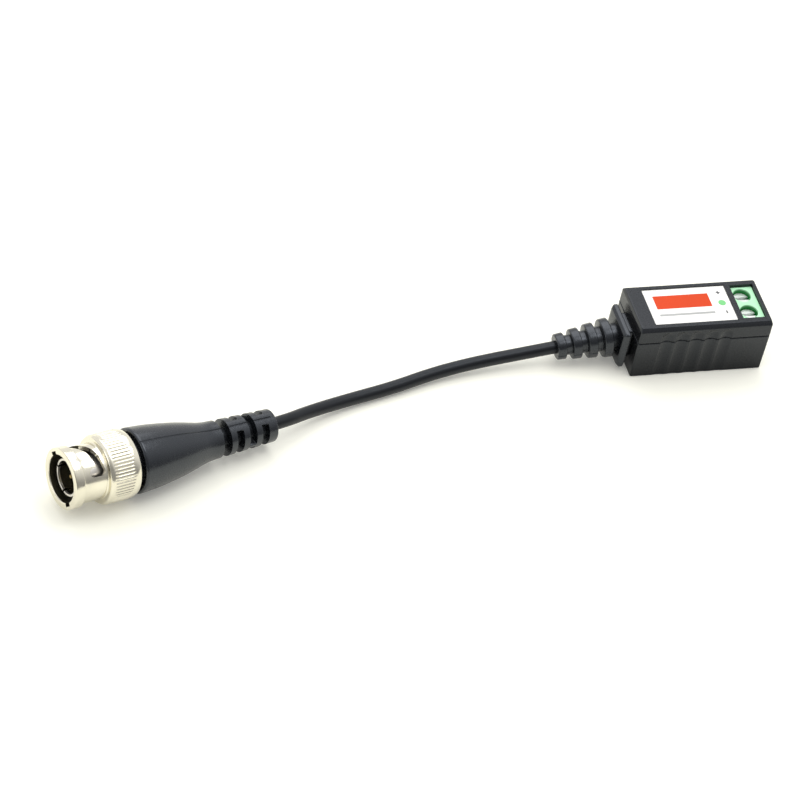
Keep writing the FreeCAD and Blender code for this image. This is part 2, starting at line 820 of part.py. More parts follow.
def make_strain_relief():
    body = new_body("relief_plates")
    outer = new_sketch(body, "relief_outer_outline", "YZ_Plane", relief_outer_face)
    wide, foot = D["relief_plate_width"] / 2, D["relief_plate_foot_width"] / 2
    draw_outline(outer, [(-foot, D["relief_plate_bottom"]), (foot, D["relief_plate_bottom"]),
                         (wide, D["relief_plate_side"]), (wide, D["relief_plate_top"]),
                         (-wide, D["relief_plate_top"]), (-wide, D["relief_plate_side"])])
    plate = pad(body, outer, D["relief_plate"], "relief_outer_plate")
    run = D["relief_plate"].value / 2
    fillet(body, plate, D["relief_ring_chamfer"], "relief_plate_corners",
           lambda a, b: abs(a.x - b.x) > run)
    neck = new_sketch(body, "relief_neck_outline", "YZ_Plane",
                      relief_outer_face + D["relief_plate"])
    neck_half = D["relief_neck_width"] / 2
    draw_outline(neck, box_outline(-neck_half, neck_half, D["relief_neck_bottom"],
                                   D["split_height"] - D["press_gap"]))
    pad(body, neck, D["relief_gap"] + D["case_wall"], "relief_neck")
    inner = new_sketch(body, "relief_inner_outline", "YZ_Plane", -wall_inside_x)
    inner_half, inner_tall = D["relief_inner_width"] / 2, D["relief_inner_height"] / 2
    draw_outline(inner, box_outline(-inner_half, inner_half, D["relief_height"] - inner_tall,
                                    D["relief_height"] + inner_tall))
    pad(body, inner, D["relief_plate"], "relief_inner_plate")
    tail = turned_body("relief_tail", relief_tail_outline())
    follow(tail, relief_seat)
    return node(fuse("strain_relief", [body, tail]), "strain_relief")


# The plug's own frame: its X axis runs from the nut's front rim to the boot's tail
knurl_end = D["nut_length"] - D["knurl_bevel"]
plug_front_z = D["knurl_outer"] / 2 * cosine(D["plug_tilt"]) + knurl_end * sine(D["plug_tilt"])
plug_seat = seat_at("plug_seat", D["plug_front_x"], D["plug_front_y"], plug_front_z,
                    D["plug_turn"], D["plug_tilt"])

# Stations of the parts inside the nut, from front to rear
flange_front = D["flange_seat"] + D["run_gap"]
flange_rear = flange_front + D["flange_sheet"]
washer_front = flange_rear + D["spring_height"]
washer_rear = washer_front + D["washer_sheet"]
ring_front = washer_rear + D["run_gap"] / 2
ring_rear = ring_front + D["ring_sheet"]


# The bayonet slot's ramp along the nut's tube: station from the front rim, and turn from the start
RAMP = ((0.0, 0.0), (0.23, 18.0), (0.53, 34.0), (0.76, 50.0), (0.92, 74.0), (1.0, 100.0))


def outward(angle):
    """The direction away from the plug's axis; 0 is up and positive turns towards -Y."""
    return V(0, -math.sin(angle), math.cos(angle))


def sideways(angle):
    return V(0, -math.cos(angle), -math.sin(angle))


def radial_block(corners, way, inner, outer):
    """A flat outline pushed outwards from the inner radius to the outer one."""
    wire = Part.makePolygon([c + way * inner for c in corners + corners[:1]])
    return Part.Face(wire).extrude(way * (outer - inner))


def slot_cutter(name, turn):
    """One bayonet slot: a lane inside the lip, a curved ramp through the tube, a seat at its end."""
    inner = D["sleeve_outer"].value / 2
    outer = D["knurl_outer"].value / 2 + D["fit_gap"].value
    half = D["slot_width"].value / 2
    first = D["nut_lip_length"].value + D["slot_start_gap"].value + half
    rise = D["slot_end"].value - first
    start = math.radians(D["slot_start_angle"].value + turn)
    sweep = D["slot_sweep"].value
    stops = [(first + rise * s, start + math.radians(sweep * a / 100)) for s, a in RAMP]
    sections = []
    for i, (station, angle) in enumerate(stops):
        s0, a0 = stops[max(i - 1, 0)]
        s1, a1 = stops[min(i + 1, len(stops) - 1)]
        run = V(s1 - s0, 0, 0) + sideways(angle) * (D["nut_tube"].value / 2 * (a1 - a0))
        across = run.cross(outward(angle)).normalize() * half
        rim = [V(station, 0, 0) + across, V(station, 0, 0) - across]
        corners = [rim[0] + outward(angle) * inner, rim[0] + outward(angle) * outer,
                   rim[1] + outward(angle) * outer, rim[1] + outward(angle) * inner]
        sections.append(Part.makePolygon(corners + corners[:1]))
    ramp = Part.makeLoft(sections, True, False)

    across = sideways(start) * half
    lane_outer = D["nut_bore"].value / 2 + D["entry_notch_depth"].value
    lane = radial_block([V(-half, 0, 0) - across, V(first, 0, 0) - across,
                         V(first, 0, 0) + across, V(-half, 0, 0) + across],
                        outward(start), inner, lane_outer)

    last = stops[-1][1]
    seat_half = half + D["slot_seat_ease"].value
    back = V(D["slot_end"].value, 0, 0)
    front = back - V(D["slot_hook"].value, 0, 0)
    across = sideways(last) * seat_half
    seat = Part.Wire([
        Part.LineSegment(front + across, back + across).toShape(),
        Part.Arc(back + across, back + V(seat_half, 0, 0), back - across).toShape(),
        Part.LineSegment(back - across, front - across).toShape(),
        Part.Arc(front - across, front - V(seat_half, 0, 0), front + across).toShape(),
    ])
    seat.translate(outward(last) * inner)
    hook = Part.Face(seat).extrude(outward(last) * (outer - inner))
    cutter = doc.addObject("Part::Feature", name)
    cutter.Shape = ramp.multiFuse([lane, hook])
    return cutter


def make_coupling_nut():
    lip, tube = D["nut_lip"] / 2, D["nut_tube"] / 2
    full, bore = D["knurl_outer"] / 2, D["nut_bore"] / 2
    edge = D["nut_rim_chamfer"]
    groove_front = ring_front - D["run_gap"] / 2
    groove_rear = ring_rear + D["run_gap"] / 2
    groove = D["ring_outer"] / 2 + D["run_gap"]
    shoulder_end = D["nut_shoulder_start"] + D["nut_shoulder_length"]
    outline = [
        (0, bore + edge), (0, lip - edge), (edge, lip), (D["nut_lip_length"], lip),
        (D["nut_lip_length"], tube), (D["nut_shoulder_start"], tube),
        (D["nut_shoulder_start"], D["nut_shoulder"] / 2, D["nut_shoulder_length"] * 1.2, 1),
        (shoulder_end, full), (knurl_end, full),
        (D["nut_length"], D["knurl_rear"] / 2), (D["nut_length"], D["rear_bore"] / 2),
        (groove_rear, D["rear_bore"] / 2), (groove_rear, groove), (groove_front, groove),
        (groove_front, D["rear_bore"] / 2), (D["flange_seat"], D["rear_bore"] / 2),
        (D["flange_seat"], bore), (edge, bore),
    ]
    body = turned_body("nut_turned_blank", outline)
    notch = new_sketch(body, "knurl_notch", "YZ_Plane", D["knurl_start"])
    half = D["knurl_depth"] * 0.9
    draw_outline(notch, [(0, full - D["knurl_depth"]), (half, full + D["fit_gap"]),
                         (-half, full + D["fit_gap"])])
    groove_cut = pocket(body, notch, D["knurl_length"], "knurl_groove", reverse=True)
    knurl = body.newObject("PartDesign::PolarPattern", "knurl")
    knurl.Originals = [groove_cut]
    knurl.Axis = (notch, ["N_Axis"])
    knurl.Angle = 360
    bind(knurl, "Occurrences", D["knurl_count"])
    body.Tip = knurl
    doc.recompute()
    nut = cut("coupling_nut", body, [slot_cutter("slot_one", 0), slot_cutter("slot_two", 180)])
    follow(nut, plug_seat)
    return node(nut, "coupling_nut")


def make_plug_body():
    sleeve, inner = D["sleeve_outer"] / 2, D["sleeve_inner"] / 2
    edge = (sleeve - inner) / 3
    seat = D["insulator_front"]
    outline = [
        (D["sleeve_front"], inner), (D["sleeve_front"], sleeve - edge),
        (D["sleeve_front"] + edge, sleeve), (flange_front, sleeve),
        (flange_front, D["flange_outer"] / 2), (flange_rear, D["flange_outer"] / 2),
        (flange_rear, D["hub_outer"] / 2), (D["hub_end"], D["hub_outer"] / 2),
        (D["hub_end"], D["tail_tube_outer"] / 2), (D["tail_tube_end"], D["tail_tube_outer"] / 2),
        (D["tail_tube_end"], D["tail_tube_inner"] / 2),
        (D["insulator_end"], D["tail_tube_inner"] / 2), (D["insulator_end"], inner),
        (seat, inner),
    ]
    body = turned_body("plug_body_blank", outline)
    slots = []
    half = D["sleeve_slot"] / 2
    end = D["sleeve_front"] + D["sleeve_slot_length"]
    slots.append(box("sleeve_slot_across", D["sleeve_front"] - D["fit_gap"], end,
                     -D["sleeve_outer"], D["sleeve_outer"], -half, half))
    slots.append(box("sleeve_slot_upright", D["sleeve_front"] - D["fit_gap"], end,
                     -half, half, -D["sleeve_outer"], D["sleeve_outer"]))
    shell = cut("plug_body", body, slots)
    follow(shell, plug_seat)
    return node(shell, "plug_body")


def make_plug_insulator():
    fit = D["sleeve_inner"] / 2 - D["press_gap"]
    nose, bore = D["insulator_nose_outer"] / 2, D["insulator_nose_bore"] / 2
    root = D["pin_root_outer"] / 2 + D["thread_gap"]
    body = turned_body("plug_insulator", [
        (D["insulator_nose"], bore), (D["insulator_nose"], nose), (D["insulator_front"], nose),
        (D["insulator_front"], fit), (D["insulator_end"], fit), (D["insulator_end"], root),
        (D["pin_root_start"], root), (D["pin_root_start"], bore),
    ])
    follow(body, plug_seat)
    return node(body, "plug_insulator")


def make_centre_pin():
    slim, root = D["pin_outer"] / 2, D["pin_root_outer"] / 2
    body = turned_body("centre_pin", [
        (D["pin_tip"], 0), (D["pin_tip"], slim / 2), (D["pin_tip"] + slim, slim),
        (D["pin_root_start"], slim), (D["pin_root_start"], root), (D["pin_end"], root),
        (D["pin_end"], 0),
    ])
    follow(body, plug_seat)
    return node(body, "centre_pin")


def washer(name, start, sheet_size, outer, inner):
    body = turned_body(name, [(start, inner / 2), (start, outer / 2),
                              (start + sheet_size, outer / 2), (start + sheet_size, inner / 2)])
    return body


def make_thrust_washer():
    body = washer("thrust_washer", washer_front, D["washer_sheet"], D["washer_outer"],
                  D["washer_inner"])
    follow(body, plug_seat)
    return node(body, "thrust_washer")


def make_retaining_ring():
    """A split ring that snaps into the nut's groove behind the washer."""
    blank = washer("ring_blank", ring_front, D["ring_sheet"], D["ring_outer"], D["ring_inner"])
    gap = doc.addObject("Part::Cylinder", "ring_gap")
    bind(gap, "Radius", D["ring_outer"])
    bind(gap, "Height", D["ring_sheet"] + 2 * D["fit_gap"])
    bind(gap, "Angle", D["ring_gap_angle"])
    gap.setExpression(
        "Placement",
        f"create(<<placement>>; create(<<vector>>; {text_of(ring_front - D['fit_gap'])}; 0; 0); "
        "create(<<rotation>>; 0; 90; 0))",
    )
    ring = cut("retaining_ring", blank, [gap])
    follow(ring, plug_seat)
    return node(ring, "retaining_ring")


def make_wave_spring():
    """A flat ring bent into waves: both rims follow the same sine of the angle."""
    sheet_size = D["spring_sheet"].value
    lift = (D["spring_height"].value - sheet_size) / 2
    middle = flange_rear.value + D["spring_height"].value / 2 - sheet_size / 2
    waves = int(D["spring_waves"].value)
    count = 8 * waves

    def rim(radius):
        spots = []
        for i in range(count):
            angle = 2 * math.pi * i / count
            spots.append(V(middle + lift * math.sin(waves * angle),
                           radius * math.cos(angle), radius * math.sin(angle)))
        curve = Part.BSplineCurve()
        curve.interpolate(spots, PeriodicFlag=True)
        return curve.toShape()

    face = Part.makeRuledSurface(rim(D["spring_inner"].value / 2), rim(D["spring_outer"].value / 2))
    spring = doc.addObject("Part::Feature", "wave_spring")
    spring.Shape = Part.Solid(face.extrude(V(sheet_size, 0, 0)).Shells[0])
    follow(spring, plug_seat)
    return node(spring, "wave_spring")


def make_crimp_ferrule():
    body = washer("crimp_ferrule", D["ferrule_start"], D["ferrule_end"] - D["ferrule_start"],
                  D["ferrule_outer"], D["tail_tube_outer"] + 2 * D["thread_gap"])
    follow(body, plug_seat)
    return node(body, "crimp_ferrule")


def boot_groove(name, start, ribs, width):
    """A ring-shaped groove in the boot's tail, less the wedges that stay as ribs."""
    ring = washer(f"{name}_ring", start, D["boot_groove"], D["boot_waist_outer"] * 1.5,
                  D["boot_groove_bottom"])
    if not ribs:
        return ring
    wedges = []
    for i, middle in enumerate(ribs):
        wedge = doc.addObject("Part::Cylinder", f"{name}_rib_{i}")
        bind(wedge, "Radius", D["boot_waist_outer"])
        bind(wedge, "Height", D["boot_groove"] + 2 * D["fit_gap"])
        bind(wedge, "Angle", width)
        first = middle - width / 2
        wedge.setExpression(
            "Placement",
            "create(<<placement>>; create(<<vector>>; "
            f"{text_of(start - D['fit_gap'])}; 0; 0); "
            f"create(<<rotation>>; create(<<vector>>; 1; 0; 0); {text_of(first)}) * "
            "create(<<rotation>>; create(<<vector>>; 0; 1; 0); 90))",
        )
        wedges.append(wedge)
    return cut(name, ring, wedges)


def make_plug_boot():
    """A moulded boot: round nose, long cone that steepens before its waist, and a ringed and slotted tail."""
    gap = D["thread_gap"]
    front = D["boot_front_outer"] / 2
    bend = D["boot_front_round"]
    waist, tail = D["boot_waist_outer"] / 2, D["boot_end_outer"] / 2
    bore = D["cord_diameter"] / 2 + D["cord_bore_gap"]
    end_round = D["boot_end_round"]
    cone_end, ogee_end = D["boot_cone_end_outer"] / 2, D["boot_ogee_end_outer"] / 2
    tube = D["tail_tube_outer"] / 2 + gap
    ferrule = D["ferrule_outer"] / 2 + gap
    outline = [
        (D["boot_neck_start"], D["boot_neck_outer"] / 2), (D["boot_front"], D["boot_neck_outer"] / 2),
        (D["boot_front"], front - bend, bend, 1),
        (D["boot_front"] + bend, front),
        (D["boot_shoulder"], D["boot_shoulder_outer"] / 2),
        (D["boot_cone_end"], cone_end), (D["boot_ogee_end"], ogee_end),
        (D["boot_waist"], waist), (D["boot_end"] - end_round, tail, end_round, 1),
        (D["boot_end"], tail - end_round), (D["boot_end"], bore),
        (D["boot_end"] - D["cord_seat"], bore), (D["boot_end"] - D["cord_seat"], 0),
        (D["tail_tube_end"] + gap, 0), (D["tail_tube_end"] + gap, tube),
        (D["ferrule_end"] + gap, tube), (D["ferrule_end"] + gap, ferrule),
        (D["ferrule_start"] - gap, ferrule), (D["ferrule_start"] - gap, tube),
        (D["boot_neck_start"], tube),
    ]
    body = turned_body("boot_blank", outline)
    pitch = D["boot_groove"] + D["boot_rib"]
    parting = D["boot_parting_angle"]
    on_parting = ((parting, parting + 180), D["boot_rib_angle"])
    beside_parting = ((parting + 90, parting + 270), D["boot_side_rib_angle"])
    start = D["boot_waist"]
    tools = [boot_groove("groove_0", start, (), 0)]
    for i, (ribs, width) in enumerate((on_parting, beside_parting, on_parting), start=1):
        tools.append(boot_groove(f"groove_{i}", start + i * pitch, ribs, width))
    boot = cut("plug_boot", body, tools)
    follow(boot, plug_seat)
    return node(boot, "plug_boot")


# The lead and the two wires inside the case

def point_on(seat, along):
    """A point on a seat's own X axis, in the part's frame."""
    return seat.Placement.multVec(V(along, 0, 0))


def smooth_path(points, share=0.45):
    """Straight runs joined by arcs that touch both runs; gives the path and its radii."""
    edges, radii = [], []
    here = points[0]
    for before, corner, after in zip(points, points[1:], points[2:]):
        way_in = corner.sub(before)
        way_out = after.sub(corner)
        turn = way_in.getAngle(way_out)
        reach = share * min(way_in.Length, way_out.Length)
        radii.append(reach / math.tan(turn / 2))
        way_in.normalize()
        way_out.normalize()
        start, finish = corner - way_in * reach, corner + way_out * reach
        bisector = (way_out - way_in).normalize()
        depth = radii[-1] * (1 / math.cos(turn / 2) - 1)
        edges.append(Part.LineSegment(here, start).toShape())
        edges.append(Part.Arc(start, corner + bisector * depth, finish).toShape())
        here = finish
    edges.append(Part.LineSegment(here, points[-1]).toShape())
    return Part.Wire(edges), radii


def tube_along(name, points, diameter):
    path, radii = smooth_path(points)
    disc = Part.Wire(Part.Circle(points[0], points[1].sub(points[0]), diameter / 2).toShape())
    solid = path.makePipeShell([disc], True, False)
    tube = doc.addObject("Part::Feature", name)
    tube.Shape = solid
    wanted = math.pi * diameter * diameter / 4 * path.Length
    print(f"{name}: length {path.Length:.2f}, smallest radius {min(radii):.1f}, "
          f"volume {solid.Volume:.2f} for {wanted:.2f}")
    return node(tube, name)


# The lead's route, chosen by hand: (x, y, z) between the strain relief and the boot
ROUTE = (
    (-49.5, -1.95, 2.4),
    (-59.5, -3.9, 1.9),
    (-69.1, -7.0, 1.6),
    (-79.8, -9.85, 1.75),
    (-89.5, -13.6, 2.9),
)
LEAD_STRAIGHT = 5.6  # how far the lead runs straight out of the strain relief
PLUG_STRAIGHT = 3.2  # and out of the boot


def make_cord():
    relief_tip = D["relief_length"].value
    boot_tail = D["boot_end"].value
    seat = D["cord_seat"].value
    points = [point_on(relief_seat, relief_tip - seat),
              point_on(relief_seat, relief_tip + LEAD_STRAIGHT)]
    points += [V(*spot) for spot in ROUTE]
    points += [point_on(plug_seat, boot_tail + PLUG_STRAIGHT),
               point_on(plug_seat, boot_tail - seat)]
    return tube_along("cord", points, D["cord_diameter"].value)


def make_inner_leads():
    """The cord's core and its gathered screen, bent down from the strain relief to the board."""
    start = (-wall_inside_x + D["relief_plate"]).value
    high, low = D["relief_height"].value, board_top.value
    for name, side in (("centre_lead", 1), ("screen_lead", -1)):
        y = side * D["lead_apart"].value / 2
        corner = V(start + D["lead_reach"].value, y, high)
        points = [V(start, y, high), corner, V(corner.x, y, low)]
        tube_along(name, points, D["lead_wire"].value)


flute_cutters = make_flute_cutters()
make_base_shell(flute_cutters)
make_top_cover(flute_cutters)
make_label()
make_circuit_board()
make_transformer()
make_board_pieces()
make_terminal_housing()
for pole_side, pole_y in pole_sides:
    make_pole(pole_side, pole_y)
make_strain_relief()
make_coupling_nut()
make_retaining_ring()
make_thrust_washer()
make_wave_spring()
make_plug_body()
make_plug_insulator()
make_centre_pin()
make_crimp_ferrule()
make_plug_boot()
make_cord()
make_inner_leads()

doc.recompute()

for obj in doc.Objects:
    if "Invalid" in obj.State or "Error" in obj.State:
        raise RuntimeError(f"{obj.Name} failed: {obj.State}")
for name, obj in nodes.items():
    if obj.Shape.isNull() or not obj.Shape.isValid() or not obj.Shape.Solids:
        raise RuntimeError(f"{name} has no valid solid")

os.makedirs("parts", exist_ok=True)
for name, obj in nodes.items():
    obj.Shape.exportStep(f"parts/{name}.step")
    bounds = obj.Shape.optimalBoundingBox()
    print(f"{name}: {len(obj.Shape.Solids)} solid(s), {obj.Shape.Volume:.2f} mm3, "
          f"x {bounds.XMin:.2f}..{bounds.XMax:.2f}, y {bounds.YMin:.2f}..{bounds.YMax:.2f}, "
          f"z {bounds.ZMin:.2f}..{bounds.ZMax:.2f}")
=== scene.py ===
import json
import math

import bmesh
import bpy
import numpy as np
from bpy.props import FloatProperty, FloatVectorProperty, IntProperty, PointerProperty
from mathutils import Matrix, Vector


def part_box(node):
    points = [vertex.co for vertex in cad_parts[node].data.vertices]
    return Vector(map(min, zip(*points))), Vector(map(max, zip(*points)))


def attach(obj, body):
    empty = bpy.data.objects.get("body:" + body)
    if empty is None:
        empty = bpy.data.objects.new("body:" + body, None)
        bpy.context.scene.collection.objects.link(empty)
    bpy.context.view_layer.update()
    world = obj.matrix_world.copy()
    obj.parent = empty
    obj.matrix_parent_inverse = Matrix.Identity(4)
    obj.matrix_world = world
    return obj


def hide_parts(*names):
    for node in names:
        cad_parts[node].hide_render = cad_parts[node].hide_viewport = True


bl_info = {
    "name": "Video balun",
    "version": (1, 0, 0),
    "blender": (4, 5, 0),
    "location": "View3D > Sidebar > Balun",
    "description": "Dresses the packed video balun and lights it on a pale table",
    "category": "Object",
}

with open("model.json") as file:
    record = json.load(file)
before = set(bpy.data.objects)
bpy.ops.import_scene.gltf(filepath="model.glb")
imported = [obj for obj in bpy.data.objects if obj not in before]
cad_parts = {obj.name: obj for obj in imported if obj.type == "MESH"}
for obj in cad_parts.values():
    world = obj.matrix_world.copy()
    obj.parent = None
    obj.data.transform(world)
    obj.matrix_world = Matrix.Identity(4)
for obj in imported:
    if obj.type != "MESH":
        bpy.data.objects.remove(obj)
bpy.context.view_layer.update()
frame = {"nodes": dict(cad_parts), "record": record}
NODES = frame["nodes"]
BODY_OF = {n: b for b, names in frame["record"]["behaviour"]["bodies"].items() for n in names}
MM = 0.001

# Places taken from the CAD model
PLUG_FRONT = (-147.07 * MM, -32.78 * MM)
AHEAD = np.array([1.0, 0.0, 0.0])
KNURL_END = 14.0 * MM
RELIEF_FACE = -17.9 * MM
RELIEF_HEIGHT = 5.8 * MM
BOOT_TAIL = 36.7 * MM
BOOT_TIP = 49.8 * MM
CORD_SEAT = 4.0 * MM
CORD_SLACK = 0.05 * MM
ROUTE = np.array([
    (-49.5, -1.95, 2.4), (-59.5, -3.9, 1.9), (-69.1, -7.0, 1.6), (-79.8, -9.85, 1.75),
    (-89.5, -13.6, 2.9)]) * MM
# The bayonet slot's ramp: its share of the way along the plug, and degrees round it
RAMP = np.array([(0.0, 0.0), (0.23, 18.0), (0.53, 34.0), (0.76, 50.0), (0.92, 74.0), (1.0, 100.0)])

# The case: the gap at its split, its windows' half width, how cut edges are rounded, the least
# radius of a corner, and how far its end loops are drawn in
SEAM = 0.07 * MM
WINDOW_HALF = 5.18 * MM
CUT_EDGE = (0.12 * MM, 50)
SMALLEST_CORNER = 0.3 * MM
DRAWN_IN = (0.5, 0.02, 1)

# Meshes: how near points and how flat faces are one, and the shading of flat trim
WELD = 1e-6
FLAT_ANGLE = math.radians(0.6)
FLAT_LIMIT = 32.0
INK_THICKNESS = 0.02 * MM
PARTING_GROOVE = 0.16 * MM

# The studio, and the cool cast of the sheen on black plastics
CAMERA_PLACE = (-0.31791, -0.57479, 0.58108)
BRIGHT_SIDE = (0.22, 0.74, 0.63)
FLOOR_GLOW = 0.13
COOL = (0.84, 0.9, 1.0)


# Settings that a user would change

def linear(code):
    """The linear colour of an sRGB hex value such as #2A2B2D."""
    parts = [int(code[i:i + 2], 16) / 255 for i in (1, 3, 5)]
    return tuple(c / 12.92 if c <= 0.04045 else ((c + 0.055) / 1.055) ** 2.4 for c in parts)


def length(text, millimetres):
    """A length setting whose default is given in millimetres."""
    return FloatProperty(description=text, default=millimetres * MM, unit="LENGTH", precision=5)


def angle(text, degrees):
    return FloatProperty(description=text, default=math.radians(degrees), subtype="ANGLE")


def colour(text, code):
    return FloatVectorProperty(description=text, default=linear(code), subtype="COLOR", size=3,
                               min=0.0, max=1.0)


def strength(text, value, unit="NONE"):
    return FloatProperty(description=text, default=value, unit=unit)


class CaseSettings(bpy.types.PropertyGroup):
    """Sizes of the two-part case and its label."""
    long_side: length("Case length at the split", 30.6)
    short_side: length("Case width at the split", 14.4)
    height: length("Case height", 13.8)
    split: length("Height of the split", 9.8)
    corner: length("Radius of the upright corners", 0.5)
    wall: length("Thickness of the side walls", 1.5)
    floor: length("Thickness of the base's floor", 1.3)
    roof: length("Thickness of the cover's roof", 1.5)
    edge_bevel: length("Bevel along the cover's long edges", 0.8)
    end_bevel: length("Bevel along the cover's short edges", 0.25)
    soft_edge: length("Rounding of the moulded edges", 0.16)
    flute_pitch: length("Distance from flute to flute", 3.4)
    flute_width: length("Width of one flute", 2.8)
    flute_depth: length("Depth of one flute at the split", 0.45)
    flute_foot: strength("Share of the flutes' depth left at the foot", 0.2)
    flute_top: length("Height of the flutes' rounded tops", 12.7)
    flute_middle: length("Place of the middle flute along the case", -2.0)


class LeadSettings(bpy.types.PropertyGroup):
    """Sizes of the cord and its strain relief."""
    cord: length("Outer diameter of the coaxial cord", 2.8)
    droop: angle("How far the strain relief's tail hangs below level", 7.6)
    swing: angle("How far the tail turns sideways", 2.2)
    ring_pitch: length("Distance from ring to ring", 3.42)
    ring_width: length("Width of one ring", 1.95)
    first_ring: length("Diameter of the ring beside the case", 8.16)
    last_ring: length("Diameter of the ring at the tip", 5.56)


class PlugSettings(bpy.types.PropertyGroup):
    """Sizes of the bayonet plug and its boot."""
    turn: angle("Direction of the plug's axis over the table", 16.69)
    tilt: angle("How far the plug's tail points down", 4.0)
    knurl: length("Diameter over the coupling nut's knurl", 14.5)
    knurl_depth: length("Depth of one knurl groove", 0.14)
    knurl_count: IntProperty(description="Number of grooves round the nut", default=60)
    boot_front: length("Diameter of the boot behind the nut", 14.0)
    boot_waist: length("Diameter of the boot at its slotted tail", 8.0)
    boot_end: length("Diameter of the boot's last ring", 7.0)
    groove: length("Width of one groove in the boot's tail", 1.5)
    rib: length("Width of one ring between grooves", 1.6)


class Finishes(bpy.types.PropertyGroup):
    """Colours of the balun's finishes."""
    case: colour("Moulded ABS of the case", "#121315")
    flexible: colour("Soft PVC of the boot and strain relief", "#0F1114")
    jacket: colour("PVC jacket of the cord", "#0B0C0E")
    film: colour("Vinyl film of the label", "#F4F3EF")
    red_ink: colour("Printed field on the label", "#D23F07")
    grey_ink: colour("Plain line on the label", "#AEAFAE")
    dark_ink: colour("The two signs on the label", "#5A5B5E")
    green_ink: colour("Printed dot on the label", "#7CCB84")
    # The terminal's face colour is its own; the deep green below its face is painted shade for the
    # wells.
    terminal: colour("Polyamide on the screw terminal's face", "#B4EDC0")
    terminal_painted_shade: colour("The same polyamide below its face", "#1F8A3E")
    nickel: colour("Nickel plate of the plug", "#E2DDCC")


class StageSettings(bpy.types.PropertyGroup):
    """The camera, the lamps and the table."""
    lens: strength("Focal length on a 36 mm sensor", 180.0, "CAMERA")
    key: strength("Power of the large soft lamp behind and above", 2.2, "POWER")
    top: strength("Power of the lamp straight above", 1.6, "POWER")
    fill: strength("Power of the soft lamp to the left", 1.1, "POWER")
    sky: strength("Strength of the surroundings behind and above", 1.1)
    dim: strength("Strength of the surroundings by the camera", 0.34)


SETTINGS = {"case": CaseSettings, "lead": LeadSettings, "plug": PlugSettings,
            "finish": Finishes, "stage": StageSettings}


def settings(name):
    return getattr(bpy.context.scene, f"balun_{name}")


# Shared surface and mesh functions

def rounded(profile, radius, closed=False, steps=4):
    """A polyline with each corner swapped for a parabola that starts and ends a radius away.
    Point on the parabola: (1-t)^2 before + 2t(1-t) corner + t^2 after."""
    points = np.asarray(profile, float)
    count = len(points)
    radii = np.broadcast_to(np.asarray(radius, float), (count,))
    t = np.linspace(0.0, 1.0, steps + 1)[:, None]
    pieces = []
    for i in range(count):
        if not closed and i in (0, count - 1):
            pieces.append(points[i:i + 1])
            continue
        before, here, after = points[i - 1], points[i], points[(i + 1) % count]
        back, ahead = before - here, after - here
        reach = min(radii[i], 0.45 * np.linalg.norm(back), 0.45 * np.linalg.norm(ahead))
        if reach < 1e-7:
            pieces.append(points[i:i + 1])
            continue
        start = here + back / np.linalg.norm(back) * reach
        end = here + ahead / np.linalg.norm(ahead) * reach
        pieces.append((1 - t) ** 2 * start + 2 * t * (1 - t) * here + t ** 2 * end)
    return np.concatenate(pieces)


def divided(profile, longest, closed=False):
    """The same polyline with every edge cut into equal parts no longer than the longest."""
    points = np.asarray(profile, float)
    ends = np.roll(points, -1, axis=0) if closed else points[1:]
    starts = points if closed else points[:-1]
    pieces = []
    for a, b in zip(starts, ends):
        parts = max(1, math.ceil(np.linalg.norm(b - a) / longest))
        pieces.append(a + (b - a) * (np.arange(parts) / parts)[:, None])
    if not closed:
        pieces.append(points[-1:])
    return np.concatenate(pieces)


def surface(points, close_rows=False, close_columns=False):
    """A grid of points, rows by columns by three, as vertices and quads. A closed way joins its
    last line to its first."""
    rows, columns = points.shape[:2]
    r = np.arange(rows if close_rows else rows - 1)
    c = np.arange(columns if close_columns else columns - 1)
    r, c = (grid.ravel() for grid in np.meshgrid(r, c, indexing="ij"))
    below, right = (r + 1) % rows, (c + 1) % columns
    quads = [r * columns + c, r * columns + right, below * columns + right, below * columns + c]
    return points.reshape(-1, 3), np.stack(quads, axis=1)


def plug_frame():
    """Rotation and origin of the plug's own frame: X from the nut's front rim to the boot's tail."""
    p = settings("plug")
    turn = Matrix.Rotation(p.turn, 3, "Z") @ Matrix.Rotation(p.tilt, 3, "Y")
    height = p.knurl / 2 * math.cos(p.tilt) + KNURL_END * math.sin(p.tilt)
    return np.array(turn), np.array([PLUG_FRONT[0], PLUG_FRONT[1], height])


def relief_frame():
    """Rotation and origin of the strain relief's tail: X from its outer plate to its tip."""
    lead = settings("lead")
    turn = Matrix.Rotation(math.pi + lead.swing, 3, "Z") @ Matrix.Rotation(lead.droop, 3, "Y")
    return np.array(turn), np.array([RELIEF_FACE, 0.0, RELIEF_HEIGHT])


def placed(points, place):
    rotation, origin = place
    return points @ rotation.T + origin


def turned(profile, columns, swell=None):
    """A surface of revolution about X: each (s, r) of the profile goes round as
    (s, -r sin a, r cos a). The swell, if any, is added to r as a function of s, r and a."""
    a = 2 * math.pi * np.arange(columns) / columns
    s, r = profile[:, :1], profile[:, 1:2]
    s, r, a = np.broadcast_arrays(s, r, a[None, :])
    if swell is not None:
        r = r + swell(s, r, a)
    return np.stack([s, -r * np.sin(a), r * np.cos(a)], axis=2)


def swept_box(stations, angles, half_width, inner, outer, radius):
    """A bar that follows a line round the plug's tube. Its corner at each place is the place plus
    or minus half a width across the line, at the inner or the outer radius along the spoke."""
    spoke = np.stack([0 * angles, -np.sin(angles), np.cos(angles)], axis=1)
    side = np.stack([0 * angles, -np.cos(angles), -np.sin(angles)], axis=1)
    run = np.gradient(stations)[:, None] * AHEAD
    run = run + side * (radius * np.gradient(angles))[:, None]
    across = np.cross(run, spoke)
    across *= half_width / np.linalg.norm(across, axis=1, keepdims=True)
    middle = stations[:, None] * AHEAD
    corners = [middle + across + spoke * inner, middle + across + spoke * outer,
               middle - across + spoke * outer, middle - across + spoke * inner]
    return np.stack(corners, axis=1)


